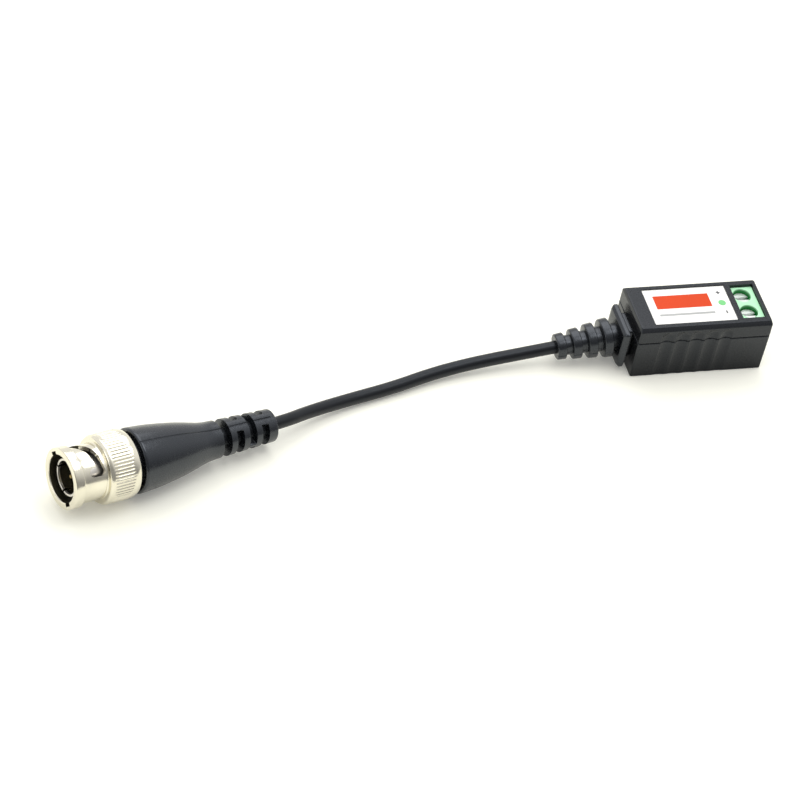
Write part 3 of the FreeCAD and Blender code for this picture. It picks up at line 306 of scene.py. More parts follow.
def capped(points):
    """A closed-column grid with a flat face over its first and last rows."""
    vertices, quads = surface(points, close_columns=True)
    rows, columns = points.shape[:2]
    first = list(range(columns))[::-1]
    last = list(range((rows - 1) * columns, rows * columns))
    return vertices, [list(q) for q in quads] + [first, last]


def piece(name, surfaces, place=None, outward=True):
    """A mesh object made of several surfaces, each with vertices and faces, welded at their seams
    and with its faces turned outwards."""
    vertices, faces, offset = [], [], 0
    for points, quads in surfaces:
        vertices.append(points)
        faces += [[int(i) + offset for i in q] for q in quads]
        offset += len(points)
    vertices = np.concatenate(vertices)
    if place is not None:
        vertices = placed(vertices, place)
    mesh = bpy.data.meshes.new(name)
    mesh.from_pydata(vertices.tolist(), [], faces)
    obj = bpy.data.objects.new(name, mesh)
    bpy.context.scene.collection.objects.link(obj)
    weld(obj, outward)
    return obj


def weld(obj, outward=True):
    """Joins points that lie together, drops faces with no area and turns faces outwards."""
    work = bmesh.new()
    work.from_mesh(obj.data)
    bmesh.ops.remove_doubles(work, verts=work.verts, dist=WELD)
    bmesh.ops.dissolve_degenerate(work, edges=work.edges, dist=WELD)
    if outward:
        bmesh.ops.recalc_face_normals(work, faces=work.faces)
    work.to_mesh(obj.data)
    work.free()
    obj.data.update()


def finished(obj):
    """Applies the modifiers, so that the mesh itself has the finished shape."""
    bpy.context.view_layer.update()
    graph = bpy.context.evaluated_depsgraph_get()
    mesh = bpy.data.meshes.new_from_object(obj.evaluated_get(graph))
    obj.modifiers.clear()
    obj.data = mesh
    return obj


def smooth(obj, limit):
    """Smooth shading that stops at edges sharper than the limit, in degrees."""
    obj.data.shade_smooth()
    obj.data.set_sharp_from_angle(angle=math.radians(limit))
    return obj


def cut_away(obj, *cutters):
    """Takes the cutters out of a piece and deletes them."""
    for cutter in cutters:
        modifier = obj.modifiers.new("cut", "BOOLEAN")
        modifier.operation = "DIFFERENCE"
        modifier.solver = "EXACT"
        modifier.use_self = True
        modifier.object = cutter
        finished(obj)
        bpy.data.objects.remove(cutter)
    return obj


def soften(obj, width, limit):
    """Rounds the edges that are sharper than the limit. The faces beside them keep their shading."""
    smooth(obj, limit)
    modifier = obj.modifiers.new("soft", "BEVEL")
    modifier.harden_normals = True
    modifier.width = width
    modifier.segments = 2
    modifier.limit_method = "ANGLE"
    modifier.angle_limit = math.radians(limit)
    return finished(obj)


def block(name, low, high):
    """A box between two corners, as six flat faces."""
    x, y, z = ([a, b] for a, b in zip(low, high))
    loop = np.array([(x[0], y[0]), (x[1], y[0]), (x[1], y[1]), (x[0], y[1])])
    points = np.stack([np.column_stack([loop, np.full(4, level)]) for level in z])
    return piece(name, [capped(points)])


def cad_copy(node, name, width, limit, material):
    """A dressed copy of a CAD node's mesh, with its flat faces joined and its edges rounded."""
    obj = bpy.data.objects.new(name, NODES[node].data.copy())
    obj.data.materials.clear()
    bpy.context.scene.collection.objects.link(obj)
    work = bmesh.new()
    work.from_mesh(obj.data)
    bmesh.ops.remove_doubles(work, verts=work.verts, dist=WELD)
    bmesh.ops.dissolve_limit(work, angle_limit=FLAT_ANGLE, verts=work.verts, edges=work.edges)
    work.to_mesh(obj.data)
    work.free()
    return dress(soften(obj, width, limit), material, node)


def dress(obj, material, node, limit=None, body=None):
    """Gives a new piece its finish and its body. A piece with no limit has been
    softened, so it has its shading. Small trim has a body but no CAD node."""
    obj.data.materials.clear()
    obj.data.materials.append(material)
    if limit:
        smooth(obj, limit)
    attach(obj, body or BODY_OF[node])
    if node:
        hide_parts(node)
    return obj


def paint(node, material):
    """Gives a CAD node its finish."""
    NODES[node].data.materials.clear()
    NODES[node].data.materials.append(material)


class BuildStep:
    """A button of the panel that builds one part of the balun."""

    def execute(self, context):
        self.build()
        return {"FINISHED"}


# Materials

def add(tree, kind, options=None, stops=(), **inputs):
    """Adds a node with its options and the two stops of its colour ramp, if it has one, and sets
    or links its inputs: a value, or (node, output)."""
    node = tree.nodes.new(kind)
    for name, value in (options or {}).items():
        setattr(node, name, value)
    for i, (place, value) in enumerate(stops):
        node.color_ramp.elements[i].position = place
        node.color_ramp.elements[i].color = rgba(value)
    for name, value in inputs.items():
        socket = node.inputs[int(name[1:])] if name[0] == "i" and name[1:].isdigit() \
            else node.inputs[name.replace("_", " ")]
        if isinstance(value, tuple) and len(value) == 2 and hasattr(value[0], "outputs"):
            tree.links.new(value[0].outputs[value[1]], socket)
        else:
            socket.default_value = value
    return node


def rgba(values):
    return (*values, 1.0)


def new_material(name):
    material = bpy.data.materials.new(name)
    material.use_nodes = True
    material.node_tree.nodes.clear()
    return material, material.node_tree


def finish_material(tree, shader):
    add(tree, "ShaderNodeOutputMaterial", Surface=(shader, 0))


def by_height(tree, low, high, at_low, at_high):
    """A value that follows the height in the part between a low and a high place."""
    spot = add(tree, "ShaderNodeTexCoord")
    height = add(tree, "ShaderNodeSeparateXYZ", i0=(spot, "Object"))
    return add(tree, "ShaderNodeMapRange", i0=(height, "Z"), i1=low, i2=high, i3=at_low, i4=at_high)


def feed(material, socket, node):
    """Links a node to an input of the material's shader."""
    tree = material.node_tree
    shader = next(n for n in tree.nodes if n.type == "BSDF_PRINCIPLED")
    tree.links.new(node.outputs[0], shader.inputs[socket])
    return material


def seen_by(tree, *rays):
    """1 for the kinds of ray that are named, and 0 for all others."""
    light_path = add(tree, "ShaderNodeLightPath")
    seen = (light_path, f"Is {rays[0]} Ray")
    for ray in rays[1:]:
        either = add(tree, "ShaderNodeMath", {"operation": "MAXIMUM"}, i0=seen,
                     i1=(light_path, f"Is {ray} Ray"))
        seen = (either, 0)
    return seen


def tinted(values, factor):
    return tuple(min(1.0, v * factor) for v in values)


def moulded_plastic(name, base, grain, bump, roughness, shade=0.12, ior=1.53, cast=(1, 1, 1)):
    """A moulded plastic. The mould's spark-eroded texture is noise of a real grain size that
    lifts the surface a little and varies its roughness; slower noise varies the colour."""
    material, tree = new_material(name)
    spot = add(tree, "ShaderNodeTexCoord")
    fine = add(tree, "ShaderNodeTexNoise", Vector=(spot, "Object"), Scale=1 / (grain * MM),
               Detail=3.0, Roughness=0.6)
    slow = add(tree, "ShaderNodeTexNoise", Vector=(spot, "Object"), Scale=1 / (9 * MM), Detail=2.0)
    tones = [(0.3, tinted(base, 1 - shade)), (0.7, tinted(base, 1 + shade))]
    tone = add(tree, "ShaderNodeValToRGB", stops=tones, Fac=(slow, 0))
    rough = add(tree, "ShaderNodeMapRange", i0=(fine, 0), i1=0.3, i2=0.7,
                i3=roughness - 0.08, i4=roughness + 0.08)
    lift = add(tree, "ShaderNodeBump", Strength=bump, Distance=0.05 * MM, Height=(fine, 0))
    shader = add(tree, "ShaderNodeBsdfPrincipled", Base_Color=(tone, 0), Roughness=(rough, 0),
                 IOR=ior, Specular_Tint=rgba(cast), Normal=(lift, 0))
    finish_material(tree, shader)
    return material


def plated_metal(name, base, stain, roughness):
    """A plated or bare metal. Noise of the turning marks' size varies its roughness; slow noise
    mixes in the stain colour where handling has dulled the plate."""
    material, tree = new_material(name)
    spot = add(tree, "ShaderNodeTexCoord")
    fine = add(tree, "ShaderNodeTexNoise", Vector=(spot, "Object"), Scale=1 / (0.35 * MM),
               Detail=4.0)
    slow = add(tree, "ShaderNodeTexNoise", Vector=(spot, "Object"), Scale=1 / (5 * MM), Detail=3.0)
    tone = add(tree, "ShaderNodeValToRGB", stops=[(0.35, base), (0.75, stain)], Fac=(slow, 0))
    rough = add(tree, "ShaderNodeMapRange", i0=(fine, 0), i1=0.25, i2=0.75,
                i3=roughness * 0.7, i4=roughness * 1.4)
    lift = add(tree, "ShaderNodeBump", Strength=0.05, Distance=0.02 * MM, Height=(fine, 0))
    shader = add(tree, "ShaderNodeBsdfPrincipled", Base_Color=(tone, 0), Roughness=(rough, 0),
                 Metallic=1.0, Normal=(lift, 0))
    finish_material(tree, shader)
    return material


def case_abs():
    """ABS moulded against a lightly spark-eroded tool: near black with a broad dull sheen. Towards
    the table the sheen is turned down as painted shade, for the shaded floor the lower walls face."""
    material = moulded_plastic("case_abs", settings("finish").case, 0.22, 0.14, 0.3, ior=1.47,
                               cast=COOL)
    # Painted shade: the sheen is lower towards the table, as if the lower walls faced a shaded floor.
    sheen = by_height(material.node_tree, 0.0, 9 * MM, 0.2, 0.5)
    return feed(material, "Specular IOR Level", sheen)


def flexible_pvc():
    """Soft PVC moulded over the cord: blue-black, smooth, with a wet-looking sheen."""
    return moulded_plastic("flexible_pvc", settings("finish").flexible, 0.5, 0.04, 0.24, ior=1.6,
                           cast=COOL)


def relief_pvc():
    """The same PVC from a textured tool: a little greyer and duller than the boot."""
    return moulded_plastic("relief_pvc", settings("finish").flexible, 0.2, 0.1, 0.27, ior=1.57,
                           cast=COOL)


def jacket_pvc():
    """Extruded PVC jacket: even, satin, with faint ripples from the die."""
    return moulded_plastic("jacket_pvc", settings("finish").jacket, 0.6, 0.06, 0.36, ior=1.39,
                           cast=COOL)


def label_vinyl():
    """Calendered vinyl film: white and satin."""
    return moulded_plastic("label_vinyl", settings("finish").film, 0.4, 0.02, 0.4, shade=0.01)


def label_ink(name, base):
    """Screen-printed ink: flat colour with a slight sheen."""
    return moulded_plastic(name, base, 0.3, 0.02, 0.38, shade=0.03, ior=1.3)


def terminal_polyamide(face_height):
    """Green polyamide of a screw terminal, pale on its face. Painted shade turns it a deep green
    in the wells below the face: the colour follows the height in the part."""
    finish = settings("finish")
    material = moulded_plastic("terminal_polyamide", finish.terminal, 0.3, 0.06, 0.36, shade=0.06)
    tree = material.node_tree
    # Painted shade: below the terminal's face the colour goes deep green, where the wells lie in shade.
    depth = by_height(tree, face_height - 0.5 * MM, face_height - 0.1 * MM, 0.0, 1.0)
    tones = [(0.0, finish.terminal_painted_shade), (1.0, finish.terminal)]
    tone = add(tree, "ShaderNodeValToRGB", stops=tones, Fac=(depth, 0))
    return feed(material, "Base Color", tone)


def nickel_plate():
    """Bright nickel over turned brass: a warm mirror with faint turning marks."""
    base = settings("finish").nickel
    return plated_metal("nickel_plate", base, tinted(base, 0.86), 0.16)


def bore_nickel():
    """Painted shade: a dark, dull nickel for the shaded depths of a turned part's bore and slots."""
    return plated_metal("bore_nickel", linear("#4A463A"), linear("#353228"), 0.45)


def paint_bore_shade(obj, frame_of_plug, start, radius, lane_end=0.0):
    """Gives the dark nickel of painted shade to the faces behind a start and within a radius of the
    plug's axis, apart from those that face outwards. Before the lane's end its walls have it too."""
    rotation, origin = frame_of_plug
    obj.data.materials.append(bpy.data.materials.get("bore_nickel") or bore_nickel())
    count = len(obj.data.polygons)
    centres, normals = np.empty(count * 3), np.empty(count * 3)
    obj.data.polygons.foreach_get("center", centres)
    obj.data.polygons.foreach_get("normal", normals)
    place = (centres.reshape(-1, 3) - origin) @ rotation
    facing = normals.reshape(-1, 3) @ rotation
    along, across = place[:, 0], place[:, 1:]
    reach = np.hypot(*across.T)
    outward = (across * facing[:, 1:]).sum(axis=1) / np.maximum(reach, WELD)
    widest = np.where(along < lane_end, radius + 0.6 * MM, radius)
    inside = (along > start) & (reach < widest) & (outward < 0.6)
    obj.data.polygons.foreach_set("material_index", inside.astype(np.int32))


# Case

def case_loop(half_x, half_y, radius, z, drop):
    """One level of the case's outline: a rounded rectangle whose long sides dip into flutes.
    The dip is the depth of a circle's arc at each place, softened where it leaves the wall."""
    case = settings("case")
    arc = np.linspace(0, math.pi / 2, 9)[1:-1]
    along = np.linspace(-1, 1, 201) * (half_x - radius)
    across = np.linspace(-1, 1, 25) * (half_y - radius)
    near = np.stack([along, np.full_like(along, -half_y)], axis=1)
    corner = np.stack([np.sin(arc), -np.cos(arc)], axis=1) * radius
    centre = np.array([half_x - radius, half_y - radius])
    right = np.stack([np.full_like(across, half_x), across], axis=1)
    far_corner = np.stack([np.cos(arc), np.sin(arc)], axis=1) * radius + centre
    half = np.concatenate([near, corner + centre * (1, -1), right, far_corner])
    loop = np.concatenate([half, -half])
    half_chord = case.flute_width / 2
    bar = (half_chord ** 2 + case.flute_depth ** 2) / (2 * case.flute_depth)
    middles = case.flute_middle + case.flute_pitch * np.arange(-2, 3)
    away = np.abs(loop[:, :1] - middles[None, :]).min(axis=1)
    above = max(0.0, z - (case.flute_top - half_chord))
    drop = drop * (case.flute_foot + (1 - case.flute_foot) * min(1.0, z / case.split))
    dip = np.sqrt(np.maximum(bar ** 2 - away ** 2 - above ** 2, 0)) - (bar - case.flute_depth)
    softness = 0.02 * MM
    dip = (dip + np.sqrt(dip ** 2 + softness ** 2)) / 2
    on_side = np.abs(loop[:, 1]) > half_y - 0.5 * radius
    inside = np.abs(loop[:, 0]) < half_x - radius
    loop[:, 1] -= np.sign(loop[:, 1]) * dip * drop * (on_side & inside)
    return np.column_stack([loop, np.full(len(loop), z)])


def case_loops(levels):
    """Loops at levels of (inset, height, flutes): up the outside, over the rim, down the inside."""
    case = settings("case")
    return [case_loop(case.long_side / 2 - inset, case.short_side / 2 - inset,
                      max(case.corner - inset, SMALLEST_CORNER), z, drop)
            for inset, z, drop in levels]


def roof_loops(shoulder, draft):
    """Loops over the roof's bevel, which is wider on the long sides."""
    case = settings("case")
    soft = case.soft_edge
    bevel = [(0.0, 0.0, shoulder - 2 * soft), (0.0, 0.0, shoulder),
             (case.end_bevel, case.edge_bevel, case.height),
             (case.end_bevel + 2 * soft, case.edge_bevel + 2 * soft, case.height)]
    return [case_loop(case.long_side / 2 - inset_x - draft, case.short_side / 2 - inset_y - draft,
                      case.corner * 0.8, z, 0.0)
            for inset_x, inset_y, z in rounded(bevel, soft * 1.5)]


def case_shell(name, loops):
    """A closed case part: its loops one after another, drawn together over the middle of the floor
    or roof at both ends."""
    points = np.stack(loops)
    first, last = points[:1] * DRAWN_IN, points[-1:] * DRAWN_IN
    return piece(name, [capped(np.concatenate([first, points, last]))])


def side_levels(bottom, top, steps, inset_bottom, inset_top):
    """Levels up a straight drafted wall with full flutes."""
    return [(inset_bottom + (inset_top - inset_bottom) * t, bottom + (top - bottom) * t, 1.0)
            for t in np.linspace(0, 1, steps)]


class BALUN_OT_case_base(BuildStep, bpy.types.Operator):
    """Build the base shell: fluted walls, soft edges and the window at the terminal's end"""
    bl_idname = "balun.case_base"
    bl_label = "Case base"

    def build(self):
        case = settings("case")
        soft = case.soft_edge
        foot = 0.15 * MM
        draft = 0.15 * MM
        top = case.split - SEAM
        levels = [(draft + foot + soft, 0.0, 0.0), (draft + foot, 0.0, 1.0), (draft, foot, 1.0)]
        levels += side_levels(foot + soft, top - soft, 40, draft, 0.0)
        levels += [(soft * 0.3, top - soft * 0.3, 1.0), (soft, top, 0.5), (case.wall, top, 0.0),
                   (case.wall, case.floor, 0.0)]
        base = case_shell("case_base", case_loops(levels))
        inside = case.long_side / 2 - case.wall
        board_top = 4.2 * MM
        window = block("end_window", (inside - MM, -WINDOW_HALF, board_top),
                       (inside + 3 * MM, WINDOW_HALF, top + MM))
        slot_half = 3.23 * MM
        slot = block("relief_slot", (-inside - 3 * MM, -slot_half, 2.47 * MM),
                     (-inside + MM, slot_half, top + MM))
        cut_away(base, window, slot)
        soften(base, *CUT_EDGE)
        dress(base, case_abs(), "base_shell")


class BALUN_OT_case_cover(BuildStep, bpy.types.Operator):
    """Build the top cover: bevelled roof, flutes, the label's recess and the terminal's window"""
    bl_idname = "balun.case_cover"
    bl_label = "Case cover"

    def build(self):
        case = settings("case")
        soft = case.soft_edge
        draft = 0.03 * MM
        bottom = case.split + SEAM
        shoulder = case.height - case.edge_bevel
        levels = [(case.wall, case.height - case.roof, 0.0), (case.wall, bottom, 0.0),
                  (soft, bottom, 0.5), (soft * 0.3, bottom + soft * 0.3, 1.0)]
        levels += side_levels(bottom + soft, shoulder - soft, 28, 0.0, draft)
        cover = case_shell("case_cover", case_loops(levels) + roof_loops(shoulder, draft))
        depth = 0.4 * MM
        x0, x1 = -11.6 * MM, 7.6 * MM
        half = 5.5 * MM
        recess = block("label_recess", (x0, -half, case.height - depth),
                       (x1, half, case.height + MM))
        window = block("roof_window", (8.8 * MM, -WINDOW_HALF, case.split - MM),
                       (14.2 * MM, WINDOW_HALF, case.height + MM))
        cut_away(cover, recess, window)
        soften(cover, *CUT_EDGE)
        dress(cover, case_abs(), "top_cover")


# Label

def printed(name, ink, outline):
    """A thin printed mark on the label's film: a closed slab over an outline in millimetres."""
    film_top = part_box("label")[1].z
    loop = np.asarray(outline) * MM
    points = np.stack([np.column_stack([loop, np.full(len(loop), z)])
                       for z in (film_top, film_top + INK_THICKNESS)])
    material = bpy.data.materials.get(ink) or label_ink(ink, getattr(settings("finish"), ink))
    dress(piece(name, [capped(points)]), material, None, FLAT_LIMIT, "case")


class BALUN_OT_label(BuildStep, bpy.types.Operator):
    """Build the label film and its print: a red field, a plain line, two signs and a dot"""
    bl_idname = "balun.label"
    bl_label = "Label"

    def build(self):
        cad_copy("label", "label_film", 0.05 * MM, 30, label_vinyl())
        left, right = -9.65, 3.1
        field = [(left, -0.65), (right, -0.65), (right, 3.4), (left, 3.4)]
        printed("label_red_field", "red_ink", rounded(field, 0.12, True))
        line = [(left, -2.85), (right, -2.85), (right, -2.25), (left, -2.25)]
        printed("label_line", "grey_ink", line)
        arm, half = 0.45, 0.16
        plus = np.array([(-arm, -half), (-half, -half), (-half, -arm), (half, -arm), (half, -half),
                         (arm, -half), (arm, half), (half, half), (half, arm), (-half, arm),
                         (-half, half), (-arm, half)])
        minus = np.array([(-half, -arm), (half, -arm), (half, arm), (-half, arm)])
        printed("label_plus", "dark_ink", plus + (5.6, 3.4))
        printed("label_minus", "dark_ink", minus + (5.8, -2.7))
        around = np.linspace(0, 2 * math.pi, 33)[:-1]
        dot = 0.85 * np.column_stack([np.cos(around), np.sin(around)])
        printed("label_dot", "green_ink", dot + (5.6, 0.2))


# Terminal and board

class BALUN_OT_terminal(BuildStep, bpy.types.Operator):
    """Round the edges of the screw terminal's pieces and give them their finishes"""
    bl_idname = "balun.terminal"
    bl_label = "Screw terminal"

    def build(self):
        green = terminal_polyamide(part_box("terminal_housing")[1].z)
        cad_copy("terminal_housing", "terminal_block", 0.12 * MM, 40, green)
        zinc = plated_metal("zinc_plate", linear("#E3E6E4"), linear("#CDD2CF"), 0.38)
        tin = plated_metal("tin_plate", linear("#CDCBC6"), linear("#B4B1AA"), 0.32)
        for side in ("front", "rear"):
            cad_copy(f"terminal_screw_{side}", f"slotted_screw_{side}", 0.1 * MM, 40, zinc)
            cad_copy(f"clamp_cage_{side}", f"wire_cage_{side}", 0.08 * MM, 40, zinc)
            paint(f"terminal_contact_{side}", tin)


class BALUN_OT_board(BuildStep, bpy.types.Operator):
    """Give the circuit board and what it carries their finishes"""
    bl_idname = "balun.board"
    bl_label = "Circuit board"

    def build(self):
        paint("circuit_board",
              moulded_plastic("glass_epoxy_board", linear("#1F5B33"), 0.3, 0.1, 0.4))
        paint("transformer_core", moulded_plastic("ferrite", linear("#2B2B2D"), 0.2, 0.3, 0.6))
        paint("transformer_winding", plated_metal("enamelled_copper", linear("#B8683A"),
                                                  linear("#8E4B28"), 0.3))
        epoxy = moulded_plastic("chip_epoxy", linear("#1C1C1D"), 0.2, 0.2, 0.5)
        paint("surge_suppressor", epoxy)
        paint("chip_parts", epoxy)
        paint("centre_lead", moulded_plastic("core_insulation", linear("#A3221A"), 0.4, 0.05, 0.4))
        paint("screen_lead", plated_metal("tinned_braid", linear("#C4BFB5"), linear("#A29C90"), 0.4))


# Strain relief and cord

class BALUN_OT_relief(BuildStep, bpy.types.Operator):
    """Build the strain relief: its bevelled plate, its neck and its ringed tail"""
    bl_idname = "balun.relief"
    bl_label = "Strain relief"

    def build(self):
        lead = settings("lead")
        rings = 4
        core = np.linspace(2.85, 2.05, rings) * MM
        tops = np.linspace(lead.first_ring, lead.last_ring, rings) / 2
        profile = [(-0.7 * MM, 0.4 * MM), (-0.7 * MM, core[0])]
        for i in range(rings):
            start = 1.2 * MM + i * lead.ring_pitch
            end = start + lead.ring_width
            profile += [(start - 0.1 * MM, core[i]), (start, tops[i]), (end, tops[i] - 0.12 * MM)]
            profile.append((end + 0.1 * MM, core[min(i + 1, rings - 1)]))
        tip = profile[-2][0]
        bore = lead.cord / 2 + CORD_SLACK
        profile[-1] = (tip, bore)
        profile += [(tip - CORD_SEAT, bore), (tip - CORD_SEAT, 0.05 * MM)]
        radii = [0.0, 0.3 * MM] + [0.15 * MM, 0.3 * MM, 0.3 * MM, 0.15 * MM] * rings
        radii[-1] = 0.1 * MM
        radii += [0.1 * MM, 0.0]
        outline = divided(rounded(profile, radii), 0.3 * MM)
        tail = placed(turned(outline, 240, self.boxy), relief_frame())
        relief = piece("strain_relief_moulding", [capped(tail), *self.plates()])
        dress(relief, relief_pvc(), "strain_relief", 38)

    def boxy(self, s, r, a):
        """The rings are a little square: r grows by a share of 1 - cos 4a, which is 0 on the top,
        the sides and the bottom, and each side has a fine groove on the mould's parting line."""
        squareness = 0.028
        parting = math.radians(98)
        depth = 0.14 * MM
        square = squareness * (1 - np.cos(4 * a)) * r
        away = np.abs(np.abs((a + math.pi) % (2 * math.pi) - math.pi) - parting) * r
        groove = depth * np.clip(1 - away / PARTING_GROOVE, 0, 1)
        return np.where((s > MM) & (r > 2 * MM), square - groove, 0.0)

    def plates(self):
        """The outer plate, the neck and the inner plate: outlines swept along X, drawn in at
        their ends for soft edges."""
        outer = np.array([(-4.9, 0.9), (4.9, 0.9), (5.15, 2.2), (5.15, 10.6), (-5.15, 10.6),
                          (-5.15, 2.2)]) * MM
        neck = np.array([(-3.2, 2.5), (3.2, 2.5), (3.2, 9.72), (-3.2, 9.72)]) * MM
        inner = np.array([(-4.7, 2.0), (4.7, 2.0), (4.7, 9.6), (-4.7, 9.6)]) * MM
        parts = []
        for outline, start, end, front_bevel in (
                (outer, -17.9, -16.4, 0.55), (neck, -16.5, -13.7, 0.02), (inner, -13.8, -12.3, 0.1)):
            loop = divided(rounded(outline, 0.6 * MM, True), 0.5 * MM, True)
            centre = loop.mean(axis=0)
            size = np.abs(loop - centre).max()
            rows = []
            sections = [(start, front_bevel + 0.15), (start + 0.05, front_bevel),
                        (start + front_bevel * 0.9, 0.1), (start + front_bevel + 0.15, 0.0),
                        (end - 0.15, 0.0), (end, 0.15)]
            for x, inset in sections:
                ring = centre + (loop - centre) * (1 - inset * MM / size)
                rows.append(np.column_stack([np.full(len(ring), x * MM), ring]))
            parts.append(capped(np.stack(rows)))
        return parts


class BALUN_OT_cord(BuildStep, bpy.types.Operator):
    """Lay the cord from the strain relief to the boot on one smooth curve"""
    bl_idname = "balun.cord"
    bl_label = "Cord"

    def build(self):
        lead = settings("lead")
        relief_tip = 13.9 * MM
        on_relief = [(relief_tip - CORD_SEAT, 0, 0), (relief_tip + 5.6 * MM, 0, 0)]
        on_plug = [(BOOT_TIP + 3.2 * MM, 0, 0), (BOOT_TIP - CORD_SEAT, 0, 0)]
        points = np.concatenate([placed(np.array(on_relief), relief_frame()), ROUTE,
                                 placed(np.array(on_plug), plug_frame())])
        curve = bpy.data.curves.new("cord_line", "CURVE")
        curve.dimensions = "3D"
        curve.bevel_depth = lead.cord / 2
        curve.bevel_resolution = 10
        curve.use_fill_caps = True
        curve.resolution_u = 24
        spline = curve.splines.new("NURBS")
        spline.points.add(len(points) - 1)
        spline.points.foreach_set("co", np.column_stack([points, np.ones(len(points))]).ravel())
        spline.order_u = 3
        spline.use_endpoint_u = True
        cord = bpy.data.objects.new("cord_jacket", curve)
        bpy.context.scene.collection.objects.link(cord)
        dress(cord, jacket_pvc(), "cord")


# Plug

class BALUN_OT_nut(BuildStep, bpy.types.Operator):
    """Build the coupling nut: lip, tube, knurl and the two curved bayonet slots"""
    bl_idname = "balun.nut"
    bl_label = "Coupling nut"

    def build(self):
        plug = settings("plug")
        full = plug.knurl / 2
        start, end = 8.75 * MM, 13.25 * MM
        fade = 0.25 * MM
        groove_ends = [(s / MM, full / MM) for s in (start, start + fade, end - fade, end)]
        outline = np.array([
            (0, 5.0), (0, 6.5), (2.2, 6.5), (2.2, 5.85), (7.7, 5.85), (7.75, 6.85),
            (8.4, full / MM), *groove_ends, (14.0, full / MM), (14.9, 7.0), (14.9, 6.15),
            (12.27, 6.15), (12.27, 6.51), (11.41, 6.51), (11.41, 6.15), (8.4, 6.15), (8.4, 5.0)]) * MM
        radii = np.array([0.3, 0.3, 0.25, 0.3, 0.3, 0.25, 0.3, 0, 0, 0, 0, 0.35, 0.25, 0.15,
                          0.1, 0.02, 0.02, 0.1, 0.1, 0.15]) * MM
        profile = divided(rounded(outline, radii, True, 5), 0.6 * MM, True)

        def knurl(s, r, a):
            """Straight V grooves: depth times a sharpened cosine of the angle, faded at both ends."""
            wave = (0.5 + 0.5 * np.cos(plug.knurl_count * a)) ** 8
            ends = np.clip((s - start) / fade, 0, 1) * np.clip((end - s) / fade, 0, 1)
            return -plug.knurl_depth * wave * ends * (r > full - 0.4 * MM)

        rings = turned(profile, 8 * plug.knurl_count, knurl)
        nut = piece("bayonet_nut", [surface(rings, True, True)])
        cutters = [self.slot_cutter(f"slot_{i}", i * math.pi) for i in range(2)]
        cut_away(nut, *cutters)
        soften(nut, 0.09 * MM, 48)
        nut.data.transform(frame_matrix(plug_frame()))
        dress(nut, nickel_plate(), "coupling_nut")
        # Painted shade in the nut's bore and slots.
        paint_bore_shade(nut, plug_frame(), 0.35 * MM, 5.2 * MM, 4.9 * MM)

    def slot_cutter(self, name, turn):
        """A closed solid for one slot: the lane inside the lip, the ramp and the seat at its end."""
        half = 0.85 * MM
        inner, outer, tube = 4.05 * MM, 7.4 * MM, 5.85 * MM
        first, last = 3.15 * MM, 6.35 * MM
        start = math.radians(-50.0) + turn
        t = np.linspace(0, 1, 33)
        marks = np.linspace(0, 1, len(RAMP))
        station = first + (last - first) * np.interp(t, marks, RAMP[:, 0])
        sweep = start + np.radians(0.95 * np.interp(t, marks, RAMP[:, 1]))
        kernel = np.array([1, 2, 3, 2, 1]) / 9
        for line in (station, sweep):
            padded = np.concatenate([np.full(2, line[0]), line, np.full(2, line[-1])])
            line[1:-1] = np.convolve(padded, kernel, "valid")[1:-1]
        ramp_points = swept_box(station, sweep, half, inner, outer, tube)
        lane_points = swept_box(np.array([-half, first]), np.array([start, start]), half,
                                inner, 5.75 * MM, tube)
        seat_half = half + 0.1 * MM
        around = np.linspace(0, math.pi, 13)
        lobe = np.stack([np.cos(around), np.sin(around)], axis=1) * seat_half
        seat_length = 1.6 * MM
        outline = np.concatenate([lobe[:, ::-1] * (1, -1) + (last, 0),
                                  lobe[::-1, ::-1] * (-1, -1) + (last - seat_length, 0)])
        spoke = np.array([0, -math.sin(sweep[-1]), math.cos(sweep[-1])])
        side = np.array([0, -math.cos(sweep[-1]), -math.sin(sweep[-1])])
        flat = outline[:, :1] * AHEAD + outline[:, 1:] * side
        seat_points = np.stack([flat + spoke * inner, flat + spoke * outer])
        return piece(name, [capped(ramp_points), capped(lane_points), capped(seat_points)])


def frame_matrix(place):
    rotation, origin = place
    return Matrix.Translation(Vector(origin)) @ Matrix(rotation.tolist()).to_4x4()


class BALUN_OT_plug_inside(BuildStep, bpy.types.Operator):
    """Build the plug's slotted sleeve and give the pieces inside the nut their finishes"""
    bl_idname = "balun.plug_inside"
    bl_label = "Plug inside"

    def build(self):
        outline = np.array([
            (1.25, 3.5), (1.25, 4.0), (1.9, 4.08), (4.5, 3.95), (8.46, 4.05), (8.46, 6.0),
            (9.61, 6.0), (9.61, 4.7), (13.4, 4.7), (13.4, 2.3), (23.0, 2.3), (23.0, 1.6),
            (12.2, 1.6), (12.2, 3.45), (6.0, 3.45)]) * MM
        profile = divided(rounded(outline, 0.12 * MM, True), 0.5 * MM, True)
        shell = piece("plug_shell", [surface(turned(profile, 128), True, True)])
        half = 0.25 * MM
        for y, z in ((5 * MM, half), (half, 5 * MM)):
            cut_away(shell, block("sleeve_slot", (1.0 * MM, -y, -z), (6.45 * MM, y, z)))
        soften(shell, 0.06 * MM, 45)
        shell.data.transform(frame_matrix(plug_frame()))
        dress(shell, bpy.data.materials["nickel_plate"], "plug_body")
        # Painted shade in the sleeve's bore.
        paint_bore_shade(shell, plug_frame(), 1.7 * MM, 3.9 * MM)
        steel = plated_metal("spring_steel", linear("#A9A8A4"), linear("#8B8A85"), 0.3)
        for node in ("wave_spring", "thrust_washer", "retaining_ring"):
            paint(node, steel)
        paint("plug_insulator", moulded_plastic("acetal_insulator", linear("#E4E1D8"), 0.3, 0.04,
                                                0.4, shade=0.02))
        paint("centre_pin", plated_metal("gold_flash", linear("#A8935F"), linear("#8D7B50"), 0.3))
        paint("crimp_ferrule", bpy.data.materials["nickel_plate"])


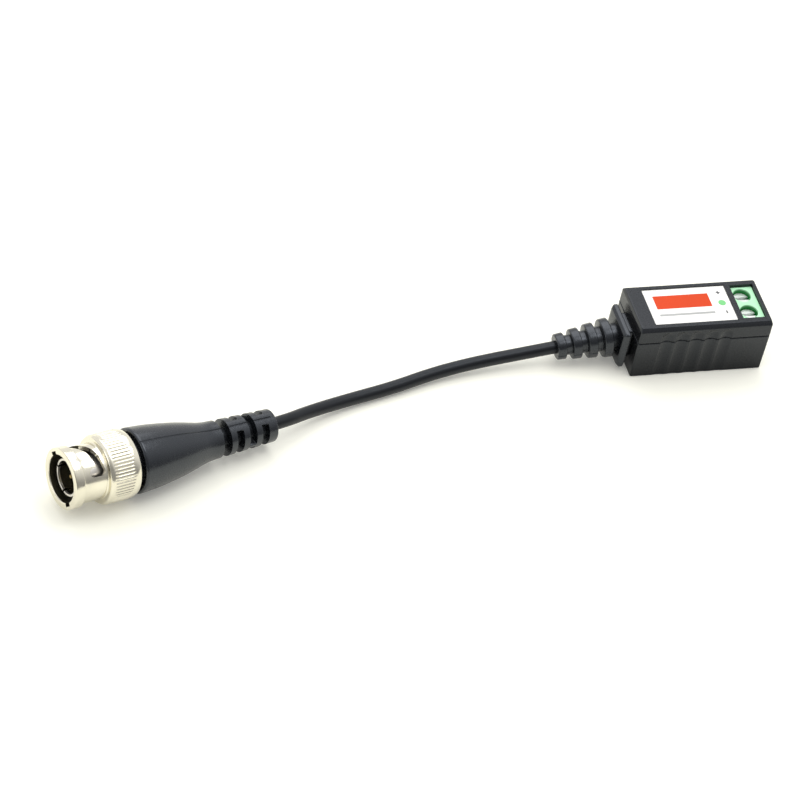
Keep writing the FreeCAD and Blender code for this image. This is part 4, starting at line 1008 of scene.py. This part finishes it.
class BALUN_OT_boot(BuildStep, bpy.types.Operator):
    """Build the moulded boot: its nose, its long waisted body and its slotted tail"""
    bl_idname = "balun.boot"
    bl_label = "Boot"

    def build(self):
        plug = settings("plug")
        front, waist, end = plug.boot_front / 2, plug.boot_waist / 2, plug.boot_end / 2
        tail, tip = BOOT_TAIL, BOOT_TIP
        bore = settings("lead").cord / 2 + CORD_SLACK
        line = np.array([(13.6, 0.4), (13.6, 5.3), (16.0, 5.3), (16.0, front / MM), (21.0, 6.65),
                         (27.5, 5.65), (33.6, 4.15), (36.7, waist / MM)]) * MM
        body = rounded(line, np.array([0, 0.3, 0.2, 0.8, 2.2, 2.8, 2.4, 0]) * MM, steps=12)
        slots_s = np.arange(tail, tip - 0.5 * MM, 0.1 * MM)
        taper = waist + (end - waist) * (slots_s - tail) / (tip - tail)
        close = rounded([(slots_s[-1], taper[-1]), (tip, end), (tip, bore), (tip - CORD_SEAT, bore),
                         (tip - CORD_SEAT, 0.05 * MM)], np.array([0, 0.6, 0.12, 0.1, 0]) * MM, steps=6)
        profile = np.concatenate([divided(body, 0.4 * MM)[:-1], np.stack([slots_s, taper], axis=1),
                                  close[1:]])
        boot = piece("plug_boot_moulding",
                     [capped(turned(profile, 320, self.slots(plug, tail, tip)))], plug_frame())
        dress(boot, flexible_pvc(), "plug_boot", 40)

    def slots(self, plug, tail, tip):
        """Depth of the tail's grooves: each is a soft-sided trench along s that stays shallow at
        its ribs, either on the mould's parting line or a quarter turn from it."""
        pitch = plug.groove + plug.rib
        parting = math.radians(13.0)
        edge, slope = 0.1 * MM, math.radians(4.0)
        core = 2.2 * MM
        seam_depth = 0.22 * MM
        # The first groove runs all the way round, so its rib is less than nothing wide
        half_ribs = np.radians((-10.0, 23.0, 8.0, 23.0))

        def step(x, width):
            return np.clip(x / width + 0.5, 0, 1)

        def beside(a, middle):
            return np.abs((a - middle + math.pi / 2) % math.pi - math.pi / 2)

        def depth(s, r, a):
            total = np.zeros_like(s)
            for i, half_rib in enumerate(half_ribs):
                low = tail + i * pitch
                middle = parting + (math.pi / 2 if i == 2 else 0.0)
                trench = step(s - low, edge) * step(low + plug.groove - s, edge)
                total = total + trench * step(beside(a, middle) - half_rib, slope)
            seam = np.clip(1 - beside(a, parting) * r / PARTING_GROOVE, 0, 1)
            seam = seam_depth * seam * (s > 16 * MM) * (s < tip - MM) * (total < 0.5)
            return np.where(r > core, -np.maximum(r - core, 0) * total - seam, 0.0)

        return depth


# Stage

class BALUN_OT_stage(BuildStep, bpy.types.Operator):
    """Set the pale table, the soft lamps and the camera"""
    bl_idname = "balun.stage"
    bl_label = "Stage"

    def build(self):
        self.table()
        self.lamps()
        self.camera()

    def table(self):
        size = 1.6
        corners = np.array([[(-size, -size, 0), (size, -size, 0)], [(-size, size, 0), (size, size, 0)]])
        points = corners + np.array([-0.06, 0.0, -0.00002])
        floor = piece("table_top", [surface(points)], outward=False)
        material, tree = new_material("table_paper")
        seen = seen_by(tree, "Camera", "Glossy", "Transmission")
        matt = add(tree, "ShaderNodeBsdfDiffuse", Color=rgba(linear("#F7F6EA")))
        amount = add(tree, "ShaderNodeMath", {"operation": "MULTIPLY"}, i0=seen, i1=FLOOR_GLOW)
        glow = add(tree, "ShaderNodeEmission", Color=rgba(linear("#FFFFFF")), Strength=(amount, 0))
        both = add(tree, "ShaderNodeAddShader", i0=(matt, 0), i1=(glow, 0))
        finish_material(tree, both)
        floor.data.materials.append(material)

    def lamps(self):
        stage = settings("stage")
        world = bpy.data.worlds.new("studio")
        bpy.context.scene.world = world
        world.use_nodes = True
        tree = world.node_tree
        tree.nodes.clear()
        seen = seen_by(tree, "Camera", "Transmission")
        direction = add(tree, "ShaderNodeTexCoord")
        toward = add(tree, "ShaderNodeVectorMath", {"operation": "DOT_PRODUCT"},
                     i0=(direction, "Generated"), i1=BRIGHT_SIDE)
        bright = add(tree, "ShaderNodeMapRange", {"interpolation_type": "SMOOTHSTEP"},
                     i0=(toward, "Value"), i1=-0.35, i2=0.65, i3=stage.dim, i4=stage.sky)
        strength = add(tree, "ShaderNodeMapRange", i0=seen, i3=(bright, 0), i4=1.0)
        sky = add(tree, "ShaderNodeBackground", Color=rgba(linear("#FFFFFF")), Strength=(strength, 0))
        add(tree, "ShaderNodeOutputWorld", Surface=(sky, 0))
        middle = Vector((-0.06, -0.01, 0.0))
        for name, place, size, power in (
                ("key_lamp", (-0.05, 0.5, 0.7), 0.6, stage.key),
                ("top_lamp", (0.18, -0.02, 0.8), 0.4, stage.top),
                ("fill_lamp", (-0.8, -0.2, 0.5), 0.5, stage.fill)):
            lamp = bpy.data.lights.new(name, "AREA")
            lamp.size = size
            lamp.energy = power
            obj = bpy.data.objects.new(name, lamp)
            obj.location = place
            obj.rotation_euler = (middle - obj.location).to_track_quat("-Z", "Y").to_euler()
            bpy.context.scene.collection.objects.link(obj)

    def camera(self):
        """The camera solved from the photograph: its place, pitch, roll and yaw."""
        pitch, roll, yaw = (math.radians(v) for v in (43.22, 12.873, -23.851))
        turn = (Matrix.Rotation(yaw, 4, "Z") @ Matrix.Rotation(math.pi / 2 - pitch, 4, "X")
                @ Matrix.Rotation(roll, 4, "Z"))
        data = bpy.data.cameras.new("photo_camera")
        data.sensor_width = 36.0
        data.sensor_fit = "HORIZONTAL"
        data.lens = settings("stage").lens
        camera = bpy.data.objects.new("photo_camera", data)
        camera.matrix_world = Matrix.Translation(CAMERA_PLACE) @ turn
        scene = bpy.context.scene
        scene.collection.objects.link(camera)
        scene.camera = camera
        scene.view_settings.view_transform = "Standard"


class BALUN_PT_panel(bpy.types.Panel):
    """Buttons that build the balun piece by piece"""
    bl_label = "Video balun"
    bl_idname = "BALUN_PT_panel"
    bl_space_type = "VIEW_3D"
    bl_region_type = "UI"
    bl_category = "Balun"

    def draw(self, context):
        for operator in OPERATORS:
            self.layout.operator(operator.bl_idname)


OPERATORS = (BALUN_OT_stage, BALUN_OT_case_base, BALUN_OT_case_cover, BALUN_OT_label,
             BALUN_OT_terminal, BALUN_OT_board, BALUN_OT_relief, BALUN_OT_nut,
             BALUN_OT_plug_inside, BALUN_OT_boot, BALUN_OT_cord)
CLASSES = (*SETTINGS.values(), *OPERATORS, BALUN_PT_panel)


def register():
    for cls in CLASSES:
        bpy.utils.register_class(cls)
    for name, cls in SETTINGS.items():
        setattr(bpy.types.Scene, f"balun_{name}", PointerProperty(type=cls))


def unregister():
    for name in SETTINGS:
        delattr(bpy.types.Scene, f"balun_{name}")
    for cls in reversed(CLASSES):
        bpy.utils.unregister_class(cls)


def main():
    register()
    for operator in OPERATORS:
        group, name = operator.bl_idname.split(".")
        getattr(getattr(bpy.ops, group), name)()


if __name__ == "__main__":
    main()
